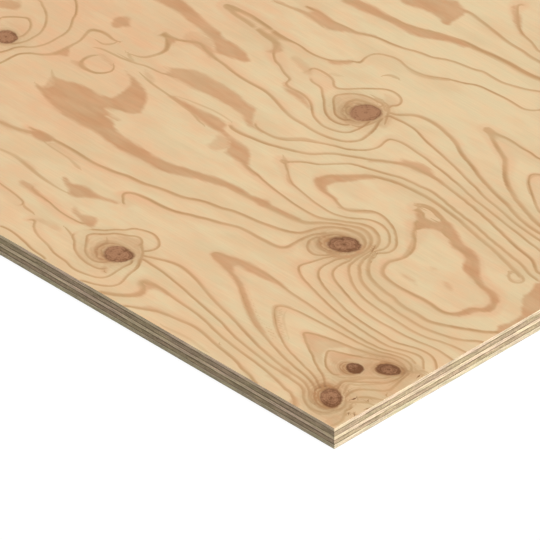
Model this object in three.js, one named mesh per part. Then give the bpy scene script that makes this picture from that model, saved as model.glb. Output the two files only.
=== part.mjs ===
// A softwood plywood sheet of a standard full size. Five rotary-cut pine veneers are glued flat on one
// another, the grain turned a quarter turn from each ply to the next, pressed hot and then trimmed square
// on all four edges, so that every ply ends flush with the saw cut.
//
// Units are millimetres and +Z is up. The sheet lies flat: its length runs along X, its width along Y and
// its thickness along Z. The origin is the centre of the underside.

import * as THREE from "three";

// The sheet as trimmed.
const SHEET_LENGTH = 2440;
const SHEET_WIDTH = 1220;

// Each ply's thickness as pressed. Thin veneers lie outside and in the middle, with their grain along the
// sheet, and thicker ones lie across it between them. That keeps the sheet in balance, so it stays flat.
const FACE_THICKNESS = 3;
const CROSSBAND_THICKNESS = 4.5;
const CENTRE_THICKNESS = 3;
const BACK_THICKNESS = 3;

// Pine has one roughness all over, and a colour for each way that it is cut and graded.
const WOOD_ROUGHNESS = 0.65;
const FACE_COLOUR = 0xdfbb90;
const CROSSBAND_COLOUR = 0xb5a284;
const CENTRE_COLOUR = 0xe3cda8;
const BACK_COLOUR = 0xdcc497;

// The lay-up, from the underside to the top.
const LAY_UP = [
  { name: "back_veneer", thickness: BACK_THICKNESS, colour: BACK_COLOUR },
  { name: "lower_crossband", thickness: CROSSBAND_THICKNESS, colour: CROSSBAND_COLOUR },
  { name: "centre_veneer", thickness: CENTRE_THICKNESS, colour: CENTRE_COLOUR },
  { name: "upper_crossband", thickness: CROSSBAND_THICKNESS, colour: CROSSBAND_COLOUR },
  { name: "face_veneer", thickness: FACE_THICKNESS, colour: FACE_COLOUR },
];

// The rectangle that the four saw cuts leave, about the origin. All the plies share it.
function trimmedOutline() {
  const halfLength = SHEET_LENGTH / 2;
  const halfWidth = SHEET_WIDTH / 2;
  return new THREE.Shape([
    new THREE.Vector2(-halfLength, -halfWidth),
    new THREE.Vector2(halfLength, -halfWidth),
    new THREE.Vector2(halfLength, halfWidth),
    new THREE.Vector2(-halfLength, halfWidth),
  ]);
}

// One veneer: the trimmed outline, extruded upwards by the ply's thickness.
function veneer({ name, thickness, colour }) {
  const geometry = new THREE.ExtrudeGeometry(trimmedOutline(), {
    depth: thickness,
    bevelEnabled: false,
  });
  const material = new THREE.MeshStandardMaterial({
    color: colour,
    roughness: WOOD_ROUGHNESS,
    metalness: 0,
  });
  const mesh = new THREE.Mesh(geometry, material);
  mesh.name = name;
  return mesh;
}

// Lays the plies up from the underside. Each one lies face to face on the ply below it.
function plywoodSheet() {
  const sheet = new THREE.Group();
  let glueLine = 0;
  for (const ply of LAY_UP) {
    const mesh = veneer(ply);
    mesh.position.z = glueLine;
    sheet.add(mesh);
    glueLine += ply.thickness;
  }
  return sheet;
}

const sheet = plywoodSheet();

export default sheet;
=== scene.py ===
"""A sheet of softwood plywood, 2440 x 1220 x 18 mm, with its five veneers modelled and finished one by one.

Every length in the figure of the face is in millimetres from the sheet's near corner: "along" runs with the
grain, down the long edge, and "across" runs over the width.
"""

import math
from collections import namedtuple

import bpy
import bmesh
import numpy as np
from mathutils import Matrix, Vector, noise


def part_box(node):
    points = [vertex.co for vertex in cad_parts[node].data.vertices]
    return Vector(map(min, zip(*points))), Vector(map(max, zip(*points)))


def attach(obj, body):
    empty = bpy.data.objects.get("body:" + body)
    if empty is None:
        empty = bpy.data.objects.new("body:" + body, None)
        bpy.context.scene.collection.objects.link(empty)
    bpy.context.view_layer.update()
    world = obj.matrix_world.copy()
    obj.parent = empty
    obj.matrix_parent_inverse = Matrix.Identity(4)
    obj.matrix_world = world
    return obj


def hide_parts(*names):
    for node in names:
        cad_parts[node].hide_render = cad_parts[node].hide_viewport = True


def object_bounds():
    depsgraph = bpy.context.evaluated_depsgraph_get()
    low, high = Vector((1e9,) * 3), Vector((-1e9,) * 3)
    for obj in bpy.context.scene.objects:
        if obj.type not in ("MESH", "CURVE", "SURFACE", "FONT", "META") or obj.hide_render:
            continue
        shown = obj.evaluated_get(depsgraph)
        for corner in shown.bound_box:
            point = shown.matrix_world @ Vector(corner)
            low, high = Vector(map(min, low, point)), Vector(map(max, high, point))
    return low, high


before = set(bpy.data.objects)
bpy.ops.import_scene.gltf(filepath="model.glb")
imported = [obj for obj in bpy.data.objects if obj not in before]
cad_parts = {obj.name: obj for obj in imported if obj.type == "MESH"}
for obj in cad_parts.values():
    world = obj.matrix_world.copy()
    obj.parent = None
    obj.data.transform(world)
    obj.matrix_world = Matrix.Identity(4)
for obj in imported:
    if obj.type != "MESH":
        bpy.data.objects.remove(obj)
CAD_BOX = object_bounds()

bl_info = {
    "name": "Plywood sheet",
    "version": (1, 0, 0),
    "blender": (4, 5, 0),
    "location": "View3D > Sidebar > Plywood",
    "description": "Builds a five-ply softwood sheet with a rotary-cut face",
    "category": "Object",
}

MM = 0.001
HAIR = 1e-6             # two places in metres that are closer than this are the same


def screen_colour(red, green, blue):
    """The linear colour that shows on screen as this red, green and blue out of 255."""
    linear = []
    for value in (red, green, blue):
        share = value / 255
        linear.append(share / 12.92 if share <= 0.04045 else ((share + 0.055) / 1.055) ** 2.4)
    return tuple(linear)


# The plies, from the underside up, and the material slot that each one takes.
BACK = "back_veneer"
LOWER = "lower_crossband"
CENTRE = "centre_veneer"
UPPER = "upper_crossband"
FACE = "face_veneer"

# --- Where the eye is ---

# From the sheet to the eye, over the near corner, and the place on the face that the eye looks at.
VIEW_BACK = Vector((0.58021, -0.57762, 0.57421)).normalized()
AIM = Vector((1.04868, -0.50386, 0.018))
LENS = 1650.0               # a very long lens, so that the sheet's edges stay nearly parallel
SENSOR = 36.0
CLIP = (0.1, 400.0)
FRAME_WIDTH = 387.2 * MM    # how much of the sheet's middle ground the frame takes in
EYE = AIM + VIEW_BACK * (FRAME_WIDTH * LENS / SENSOR)

# --- The growth lines that were read off the face, each with its ring, its breadth and its course ---

# A line whose breadth is 0 isn't drawn, and only leads the surface of rings.
GROWTH_LINES = {
    "first_line_to_the_near_corner": (0, 2.8, (
        (247,56), (240,59), (230,63), (220,64.5), (210,63), (200,60.5), (190,57), (180,53.5), (170,50.5),
        (160,48), (150,45.5), (140,42.5), (130,39.5), (120,36.5), (110,33.5), (100,31.5), (90,29.5),
        (80,28), (70,27), (60,26.2), (55,25), (50,22.5), (40,14.5), (35,12))),
    "second_line_to_the_near_corner": (-1, 2.2, (
        (247,51), (240,51.5), (230,51), (220,49.8), (210,48), (200,46.3), (190,44), (180,42), (170,40),
        (160,38), (150,35.8), (140,32.5), (130,29.7), (120,28), (110,26.5), (100,25), (90,23.3), (80,22.8),
        (70,22.2), (60,21), (55,20.3), (50,18), (40,9.5), (35,7), (30,6), (25,6.5), (20,9), (17,13),
        (16,18))),
    "third_line_to_the_near_corner": (-2, 2.5, (
        (222,33), (218,34.8), (210,35), (200,33.8), (190,32.8), (180,32), (170,31), (160,29), (150,26.3),
        (140,24), (130,22.3), (120,20.7), (110,19.5), (100,18.5), (90,17), (80,15), (70,12.7), (60,10),
        (50,7), (45,4), (41,0))),
    "fourth_line_to_the_near_corner": (-3, 2.9, (
        (209,5), (200,9.5), (195,12.5), (190,14), (180,16), (170,17.5), (160,18.5), (150,17.3), (140,15),
        (130,13), (120,11.5), (110,9.5), (100,6), (90,4), (83,1))),
    "first_arrow_low_side": (1, 2.5, (
        (216,93), (205,88.5), (195,86), (185,83), (175,78), (165,71.5), (155,65), (148,60.5), (140,55.5),
        (130,50.5), (120,47), (110,43.7), (100,40.5), (90,37.5), (80,35.3), (70,33.3), (60,31.5), (50,28),
        (46,26))),
    "first_arrow_high_side": (1, 2.4, (
        (216,93), (210,96), (200,98.5), (190,100), (180,101), (170,101.3), (160,100.3), (150,98.5),
        (140,97.3), (130,96.7), (120,96), (110,95), (100,94), (90,93.5), (80,93), (70,92.5), (60,92.5),
        (50,93.3), (45,94.5), (35,98.5), (30,100), (25,100.5), (20,99.5))),
    "second_arrow_low_side": (2, 1.7, (
        (137,78.5), (134,73), (125,65), (115,57.5), (105,51.5), (100,48.7), (90,44.7), (80,42), (70,39.2),
        (60,36.8), (55,35), (46,30))),
    "second_arrow_high_side": (2, 2.1, (
        (137,78.5), (134,81.5), (130,83.3), (120,85), (110,85.7), (100,86.3), (90,87), (80,87.3),
        (70,87.7), (60,88.3), (50,89.7), (40,92.6), (35,94.5), (25,96.3))),
    "third_arrow_low_side": (3, 2.2, (
        (100,69), (95,64.5), (85,58.5), (75,53), (65,46.7), (60,44), (55,42), (47,36.5), (43,33))),
    "third_arrow_high_side": (3, 2.4, (
        (100,69), (97,71.5), (88,75), (80,77), (70,79), (60,80.8), (50,83.7), (45,85.4), (35,90.7),
        (30,91.7), (25,91.4), (20,90.3))),
    "fourth_arrow_low_side": (4, 1.8, (
        (72,65.5), (70,61.5), (67,57.5), (64,54.3), (60,51), (56,49), (52,47.8), (48,47.5))),
    "fourth_arrow_high_side": (4, 2.1, (
        (72,65.5), (69,68), (65,69.3), (62,71), (58,72.3), (51,76.3))),
    "first_of_the_fan": (0, 2.1, (
        (153,150), (155,146), (158.5,134), (160.5,129), (161,125.5), (158,121.5), (150,117), (140,113.8),
        (130,111), (120,108.3), (110,105.7), (100,103.7), (90,102), (80,101.2), (70,100.5), (60,100),
        (50,99.8), (45,100.2), (35,103.7), (25,106.8), (20,107), (16,105.5), (10,100))),
    "second_of_the_fan": (-1, 2.1, (
        (146,154), (148.3,144), (149,138), (147.5,132), (144,127.3), (140,124.3), (130,119.5), (120,116),
        (110,113.3), (100,110.5), (90,108.7), (80,107.8), (70,107), (60,106.8), (50,106.5), (45,107),
        (35,110.5), (30,112.3), (25,113.3), (20,113.7), (15,113.2), (10,111.3), (5,108), (1,104.5))),
    "third_of_the_fan": (-2, 2.1, (
        (141.5,160), (141,150), (141,143), (139.5,138), (136,134), (130,130.5), (120,127), (110,123.7),
        (100,120.5), (90,118.3), (80,117.3), (70,117), (60,117.5), (50,117.5), (40,118.5), (30,120),
        (20,121.5), (10,121.3), (0,120.3))),
    "fourth_of_the_fan": (-3, 2.1, (
        (138,165), (137.5,157), (136.5,152), (134,148.5), (125,141), (115,135), (110,132.7), (100,129.5),
        (90,128), (80,127), (70,126.5), (60,126), (50,125.5), (40,126), (30,128), (25,130), (15,132.3),
        (5,133.5), (0,134))),
    "fifth_of_the_fan": (-4, 3, (
        (136,170), (134.5,164), (132.5,160), (126,151.5), (122,147.5), (117,144), (110,141), (100,138.5),
        (90,136), (80,135.7), (70,134.2), (60,134), (50,133.7), (40,134.5), (30,136.7), (20,139.7),
        (15,142), (10,145.3), (5,149.5), (0,151.5))),
    "sixth_of_the_fan": (-5, 3.5, (
        (133.5,174), (129.5,165), (127,161.5), (123,157), (119,153.5), (115,151.3), (110,149.3), (100,147),
        (95,146), (85,145.2), (80,143.5), (70,142.3), (60,142.8), (50,142.3), (45,143), (40,145),
        (30,149.7), (20,155.3), (10,161), (4,166), (0,171))),
    "island": (-6, 3.2, (
        (138,222), (134,218.5), (126,207.5), (118,197.5), (116,192), (115.3,186), (116.5,181), (118.5,176),
        (118.5,171), (116.5,166), (112.5,161.5), (108,159.5), (100,158), (90,157.5), (80,158), (70,158.8),
        (60,158.5), (50,157.7), (45,158.7), (41,161), (38.5,165), (36.5,174.5), (33,177.5), (29,179.5),
        (26.5,182.5), (27,187), (30,191.5), (34,195.7), (40,198.5), (47,199), (53,200), (66,205), (70,209),
        (74,214), (79,218), (85,219.5), (92,220.5), (100,222), (113,226.5), (120,229.5), (133,231),
        (144,234), (149,236), (152,238.5))),
    "tail_of_the_island": (-6, 2.1, (
        (152,238.5), (148,241), (142,241), (130,238), (124,235.5))),
    "first_over_the_second_knot": (0, 3.2, (
        (313,98.5), (313.5,101), (310,104.3), (305,106), (295,107.5), (282,108.3), (275,109.5), (270,111),
        (260,115.5), (255,117), (250,119.5), (240,122.7), (230,127), (225,128.7), (215,129.7), (200,130.2),
        (190,131), (186,132.7), (184,136), (183.7,148), (183,154), (181.5,160), (179,164))),
    "second_over_the_second_knot": (-1, 3.1, (
        (400,111.5), (390,112), (380,112.3), (370,112), (360,111.5), (352,111.8), (345,113), (338,114),
        (328,117), (320,118), (312,119), (300,122.7), (292,124.5), (285,125.7), (280,127), (270,132),
        (265,134), (255,136), (250,137.3), (245,139.5), (240,140.7), (230,142.3), (220,143.7), (210,146),
        (197,150), (192,153), (188.5,157), (185.3,166.5), (183,171), (179.5,175.3), (175,178.7),
        (170,181.5), (164,183.3), (158,183.7), (153,182.3), (148,179), (145,175))),
    "third_over_the_second_knot": (-2, 5, (
        (350,144.5), (340,143.5), (330,144.5), (320,146.5), (310,149), (303,151.5), (290,155), (283,156.7),
        (275,158.7), (268,160), (255,160.3), (245,161), (235,162.5), (228,162), (215,163.3), (205,164.5),
        (198,166), (193,169), (189,173.5), (185,177), (175,183.7), (169,187), (163,189.3), (157,189.3),
        (151,187), (146,183), (143,178.5), (141.5,174), (140.5,168), (140,156))),
    "fourth_over_the_second_knot": (-3, 2, (
        (280,188), (276,186.3), (270,185), (262,184), (255,182.3), (248,181), (240,179.7), (230,178.5),
        (220,177.3), (210,176.8), (200,177), (193,178.2), (188,180.5), (183,184), (176,187.7), (164,194.5),
        (158,195.5), (152,194), (146,191), (141.5,186.5), (139,182), (138,177), (138,171))),
    "fifth_over_the_second_knot": (-4, 1.8, (
        (262,210.5), (258,209.3), (250,202.5), (241,196), (237,194), (230,192.5), (220,190.7), (210,189),
        (200,188.3), (192,188.3), (186,189.5), (175,195), (166,201.5), (160,203), (154,203), (147,201),
        (141,197), (136,192), (133.5,187), (133.5,181), (135.5,172))),
    "sixth_over_the_second_knot": (-5, 2.3, (
        (226,212), (223,208.5), (218,205), (211,203.3), (203,202), (197,200), (190,198.3), (185,199),
        (181,202), (177,206.5), (172.5,210), (167,211.5), (160,211), (153,208.8), (147,206.3), (141,202.5),
        (135,197.5), (130,192.5), (127.5,187), (128,181.5), (133,173))),
    "end_of_the_sixth": (-5, 4, (
        (226,212), (226,216), (223,220.5), (218,225), (212,231), (207,236.5), (202,241), (197,243.5),
        (190,246), (182,248), (170,249.5), (160,250), (150,249.8), (140,249), (130,247.7), (120,246.3),
        (110,244), (100,242), (90,240), (80,238.3), (70,236), (60,233.3), (50,230.7), (44,229.3))),
    "loop_round_the_second_knot": (1, 2.1, (
        (178,158), (178.2,153), (176,148.5), (172,144.5), (167,142.7), (162,143.5), (158,147), (155,150.5))),
    "fifth_on_the_bank": (-4, 2.1, (
        (262,210.5), (252,217), (247,220.5), (240,224.5), (235,230), (230,235.5), (225,240.5), (218,243.5),
        (210,246), (202,248.7), (195,251.3), (188,253.8), (180,255.3), (170,256), (160,257.5), (150,256.3),
        (140,254.5), (130,252.7), (120,251.2), (110,250), (100,248), (90,245.7), (80,244), (70,242.3),
        (60,240.5), (50,239), (38,234.8), (30,233.5))),
    "fourth_on_the_bank": (-3, 3, (
        (316,212), (310,211.7), (303,212.3), (296,213.7), (288,215), (280,217.5), (272,220.5), (265,223.3),
        (258,226.5), (253,229.5), (245,238.5), (240,242.5), (232,247), (225,251), (218,254.7), (212,259),
        (200,266), (195,268.5), (185,270), (175,271), (165,270.8), (155,269.3), (145,268), (135,266.7),
        (125,265), (115,263), (105,261), (100,259.7), (90,257.3), (80,254.7), (70,252.3), (62,250.7),
        (55,249.7), (48,248), (42,244.5), (35,240.5))),
    "before_the_third_on_the_bank": (-2, 0, (
        (317,239.5), (307.5,227))),
    "third_on_the_bank": (-2, 2.1, (
        (306,226), (300,224.7), (292,225), (285,226), (279,228.5), (269,237.5), (262,241.5), (255,245.5),
        (248,248.7), (240,251.5), (235,255), (230,259.5), (226.5,265), (225.3,271), (226.5,276), (227,281),
        (223,284), (217,285.3), (210,285.3), (200,284.3), (190,283.5), (180,281.7), (170,280.5),
        (160,278.5), (150,276.7), (140,274.3), (130,272), (120,270.7), (110,269.2), (100,267.7), (90,266),
        (80,264.7), (72,263.3), (65,262), (55,261))),
    "second_on_the_bank": (-1, 2.1, (
        (247,302.5), (240,303.3), (230,304), (222,303.5), (215,301.5), (207,299), (200,297.5), (190,295.5),
        (180,293.3), (170,291), (160,288.3), (150,285.5), (140,283.3), (130,280), (120,278), (110,276.3),
        (100,274.3), (90,272.3), (80,271), (70,270), (62,269.5))),
    "first_on_the_bank": (0, 3.5, (
        (246,306.5), (240,311.5), (235,315.5), (229,317.7), (220,318.7), (210,317.7), (200,315.5),
        (193,313.5), (187,311), (180,307), (170,303), (160,299.7), (150,295.3), (140,292), (130,289),
        (120,286.5), (110,284.3), (100,280.8), (90,278), (80,276.3), (70,275.5))),
    "far_arrow_low_side": (1, 4, (
        (187,339), (176,335.3), (170,332.3), (163,328.7), (156,325.5), (150,322.3), (145,317.3),
        (140,312.3), (130,304), (125,300.7), (115,296), (110,293.3), (100,290), (90,286.7), (80,283.7),
        (75,282.5))),
    "far_arrow_high_side": (1, 2.1, (
        (187,339), (180,340.5), (172,342), (165,342.7), (158,342.3), (150,341.7), (142,342), (135,341))),
    "inside_the_far_arrow": (2, 2.1, (
        (119,327.5), (122,325.5), (123.8,322.5), (121.5,318.5), (118,314.5), (107,306.7), (100,302),
        (88,295))),
    "hump_over_the_first_knot": (1, 2.1, (
        (296,54), (290,59), (281.5,68), (279,73), (275,76), (270,78), (264,79.3), (258,78), (253,75),
        (249.5,71), (248.9,67), (250.2,62.8), (251.3,61))),
    "tent_over_the_first_knot": (2, 2.1, (
        (290,38), (293,41.5), (295.5,45.5), (293,50), (284,59.5), (279,63), (274,65.5), (270,68.5),
        (266,69), (262.8,67.3), (260.7,65.2))),
    "low_side_of_the_tent": (2, 2.1, (
        (290.5,38.5), (284,31), (280,28), (275,26), (270,25.5), (266,27), (263,30))),
    "first_under_the_first_knot": (1, 2.1, (
        (302,36), (297,33), (287,24.5), (282,22.3), (275,20.7), (268,20), (263,20.5), (259,22))),
    "second_under_the_first_knot": (0, 2.1, (
        (336,31), (331,25.6), (325,21.5), (318,18.7), (310,16.8), (304,15), (298,12.5), (291,11.3),
        (283,10.7), (277,8.7), (270,8.3), (263,9.5), (256,11.5), (251,14.5), (248.7,20), (249,28),
        (249.3,36), (249,43))),
    "third_under_the_first_knot": (-1, 2.1, (
        (345,9.3), (335,9.5), (328,8.3), (320,6.7), (313,4.7), (305,3.7), (299,3.3))),
    "end_of_the_third_under": (-1, 2.1, (
        (256,3), (244,8), (239,12), (236.5,18), (237.7,24), (239.7,30), (240.7,36), (245,47), (247.5,51))),
    "hook": (-2, 4.5, (
        (222,33), (226.5,32.3), (226,30), (222.5,28.7), (220,26), (217.5,22.5), (217.7,18), (221,13),
        (231,5.5), (236,3))),
    "stub": (-3, 2.1, (
        (209,5), (213,2.5))),
    "hump_over_the_high_knot": (1, 2.1, (
        (297,301), (292,305), (287,311), (281,317), (273,323.7), (268,325.7), (262,325.7), (256,323.3),
        (252.7,319.5), (252.5,315), (255,311.5))),
    "end_of_the_high_hump": (1, 2.1, (
        (297,301), (301,301), (306,305), (312,307), (320,307.7), (328,305.5))),
    "tent_over_the_high_knot": (2, 2.1, (
        (259.5,308.3), (265,309.2), (271.5,309.2), (277.5,308), (283.2,305.3), (288,301), (291,296.5),
        (292.3,293), (290,288.5), (281,280.5), (276,276.5), (271,275.5), (266,276.5))),
    "first_under_the_high_knot": (1, 2.1, (
        (262,272), (266,270.3), (272,269.7), (278,271), (284,274), (294,283), (304,291), (310,293.3),
        (317,293.7))),
    "second_under_the_high_knot": (0, 2.1, (
        (252,285), (252,272), (253.3,267.5), (257.5,263.7), (264,261.3), (272,260), (279,261.5),
        (285,263.7), (295,271.5), (305,276.7), (311,277.7), (323,277), (328,278.3))),
    "third_under_the_high_knot": (-1, 2.8, (
        (247.5,293), (244.5,287), (242,280), (240.7,272), (240.7,266), (244,260.7), (250,256), (257,253.3),
        (264,251.7), (272,251), (282,251.5), (292,251.5), (302,253), (310,255.3), (317,257.7), (325,260),
        (332,261.3), (345,261), (355,261), (365,262), (375,263.7), (385,264.7), (393,266.3), (400,268),
        (406,270), (411,268.3), (416,265), (421,262.3), (431.5,259.7))),
    "turn_of_the_third_under": (-1, 0, (
        (427,257.5), (421,251.5), (419,248.5), (418.2,245), (418.5,240), (421.5,232), (423.5,229.5),
        (427,227.3))),
    "quill_low_side": (0, 2.1, (
        (330,284.5), (335,286), (347,291.3), (352,292.5), (357,295.5), (361,299), (364,303.5), (366,307.5),
        (372,309.7), (380,310), (388,311.3))),
    "quill_tip": (0, 1.2, (
        (396,312), (405,312.7), (413,313), (420,315), (427.5,317), (421,319), (413,320.3), (404,321),
        (395,320.3), (385,319.3))),
    "quill_high_side": (0, 2.1, (
        (378,318), (370,318), (360,319), (352,319), (345,318), (338,318.3), (330,320), (323,323),
        (318,327.5), (314,332), (309,334.5), (308,351), (303,354), (297,356), (290,356.5), (284,355),
        (277,354.3), (270,355), (262,357.5), (250,364.7), (243,367.5), (237,370), (231,373.5), (225,375),
        (215,376), (205,377), (195,377), (187,376.7), (182,378.3), (178,381.5), (176,384.5))),
    "first_at_the_top": (-1, 2.4, (
        (382,357), (374,358.3), (368,357.5), (360,356.7), (352,357.7), (345,358.7), (338,359), (332,361.5),
        (325,364.5), (318,366), (310,367), (303,368.5), (297,370.3), (290,373), (277,376), (271,379.3),
        (265,382), (258,384), (250,385.5), (244,387), (239,389), (230,389), (220,389.3), (212,391.5),
        (199,396.5), (194,399.5))),
    "second_at_the_top": (-2, 5, (
        (368,383), (360,386), (350,386.5), (340,387), (330,389.5), (322,390), (315,391.5), (308,393.7),
        (300,397), (292,400), (285,401.7), (277,404.5), (268,406), (260,406.5), (250,408), (240,409),
        (230,409.5), (220,409.3), (212,410), (204,411.5))),
    "third_at_the_top": (-3, 3, (
        (297,434), (290,433.5), (280,432), (270,430.5), (262,429.3), (253,428), (245,427.5), (235,427.3),
        (227,426.3), (220,426.5))),
    "fourth_at_the_top": (-4, 2.1, (
        (279,466), (276,461.5), (266,452), (261,447.5), (256,444.3), (251,442), (239,439.3), (229,435.5))),
    "first_by_the_stem": (0, 1.8, (
        (307,92), (309,94.5), (312,97), (313,98.5))),
    "second_by_the_stem": (1, 1.8, (
        (390,46), (382,45.7), (375,45), (367,44), (360,42.5), (356,40.5))),
    "third_by_the_stem": (0, 1.8, (
        (364,57.5), (355,55.8), (348,55), (340,53.7), (332,52), (325,51.5), (315,51.7), (308,53))),
    "fourth_by_the_stem": (0, 0, (
        (415,75), (408,77), (400,78), (386,76), (370,73), (354,71.7), (346,71.3), (340,72.5))),
    "start_by_the_oval": (-1, 2.4, (
        (400,111.5), (408,111.7), (416,110.5))),
    "first_by_the_oval": (-1.90, 0, (
        (452,151), (440,145.5), (433,142), (425,139.5), (415,139), (405,138.3), (395,138.5), (375,138.5),
        (365,136.7), (352,136.7), (340,137), (330,138))),
    "second_by_the_oval": (-2.10, 0, (
        (350,150), (360,150.5), (370,151), (376,152.5), (380,156), (384,161), (396,167))),
    "third_by_the_oval": (-3, 0, (
        (420,208), (405,205), (398,203), (387,195.5), (378,184.5), (375.5,179.5), (378,174.5), (390,169.5),
        (396,167.5))),
    "round_the_oval": (-3, 0, (
        (450.5,210), (451,197), (449.5,192.5), (445,190.5), (440,191.3), (435,193.7), (430.5,197.5),
        (428.3,202.5), (430,207), (435,210.5))),
    "first_past_the_oval": (-3, 2.1, (
        (500,162), (498,168), (497,173), (494,177.5), (490,180.5), (487,185), (485,190), (484,196),
        (484,210), (485.5,216), (489,222), (493,227.5), (495,232), (499,237), (504,242), (508,245))),
    "before_the_first_past_the_oval": (-2, 0, (
        (491,152), (490,167), (487.5,172), (484,176), (475,181.5), (463.5,193), (469,201), (472,219),
        (474,225), (471,229), (466,230.7), (460,230.7), (451,229.3), (452,225.5), (455,222), (459,220.7),
        (463,220.5))),
    "second_past_the_oval": (-4, 2.1, (
        (500,177.5), (497,190), (497,197), (499,203), (502,208.5), (506,213.5), (510,217.5), (520,223.5),
        (524,226))),
    "third_past_the_oval": (-5, 2.1, (
        (503.5,188), (504.5,193), (507,198.5), (511,202.5), (516,205), (520,202.5), (528,195.5), (531,192))),
    "over_the_oval": (-3, 0, (
        (452,214.5), (438,217), (425,220), (411,223.3), (400,224), (394,226.5), (388,227.5), (378,227.7),
        (368,229), (355,230.7), (345,230.7), (337,229))),
    "round_the_small_knots": (3, 2.1, (
        (20,90.5), (15,87.5), (12.5,82), (12,75), (13.5,68), (18,63), (24,58), (29,53), (34,49.5), (37,46),
        (36.5,42), (35,39))),
    "second_round_the_small_knots": (2, 0, (
        (25,96.5), (18,95), (13,91), (10.5,84), (8,69), (8.5,62), (12,57.5), (21.5,50), (24,45), (24,40),
        (22,36))),
    "third_round_the_small_knots": (1, 0, (
        (20,99.5), (13,96), (8,90), (5.5,82), (3.5,66), (4,58), (8,52), (5,49), (15,38), (18,28))),
    "fourth_round_the_small_knots": (0, 0, (
        (10,100), (2.5,92), (0,88))),
    "first_at_the_corner": (-1, 0, (
        (16,18), (13.5,29), (11,33), (6,37), (0,39))),
    "second_at_the_corner": (-2, 0, (
        (9,17), (5,13), (3,8), (3,2))),
}

# Places between the lines, and how many rings deep the cut is there.
RING_SPOTS = (
    (58,62,4.45), (80,190,-6.45), (100,200,-6.5), (60,180,-6.45), (195,225,-5.5), (210,110,0.5),
    (270,95,0.55), (230,85,0.5), (160,85,1.5), (118,72,2.5), (300,170,-2.5), (350,180,-2.5),
    (270,213.5,-3.7),
)


# --- The broad dark patches, where the knife ran along one ring's dark wood ---

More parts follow.
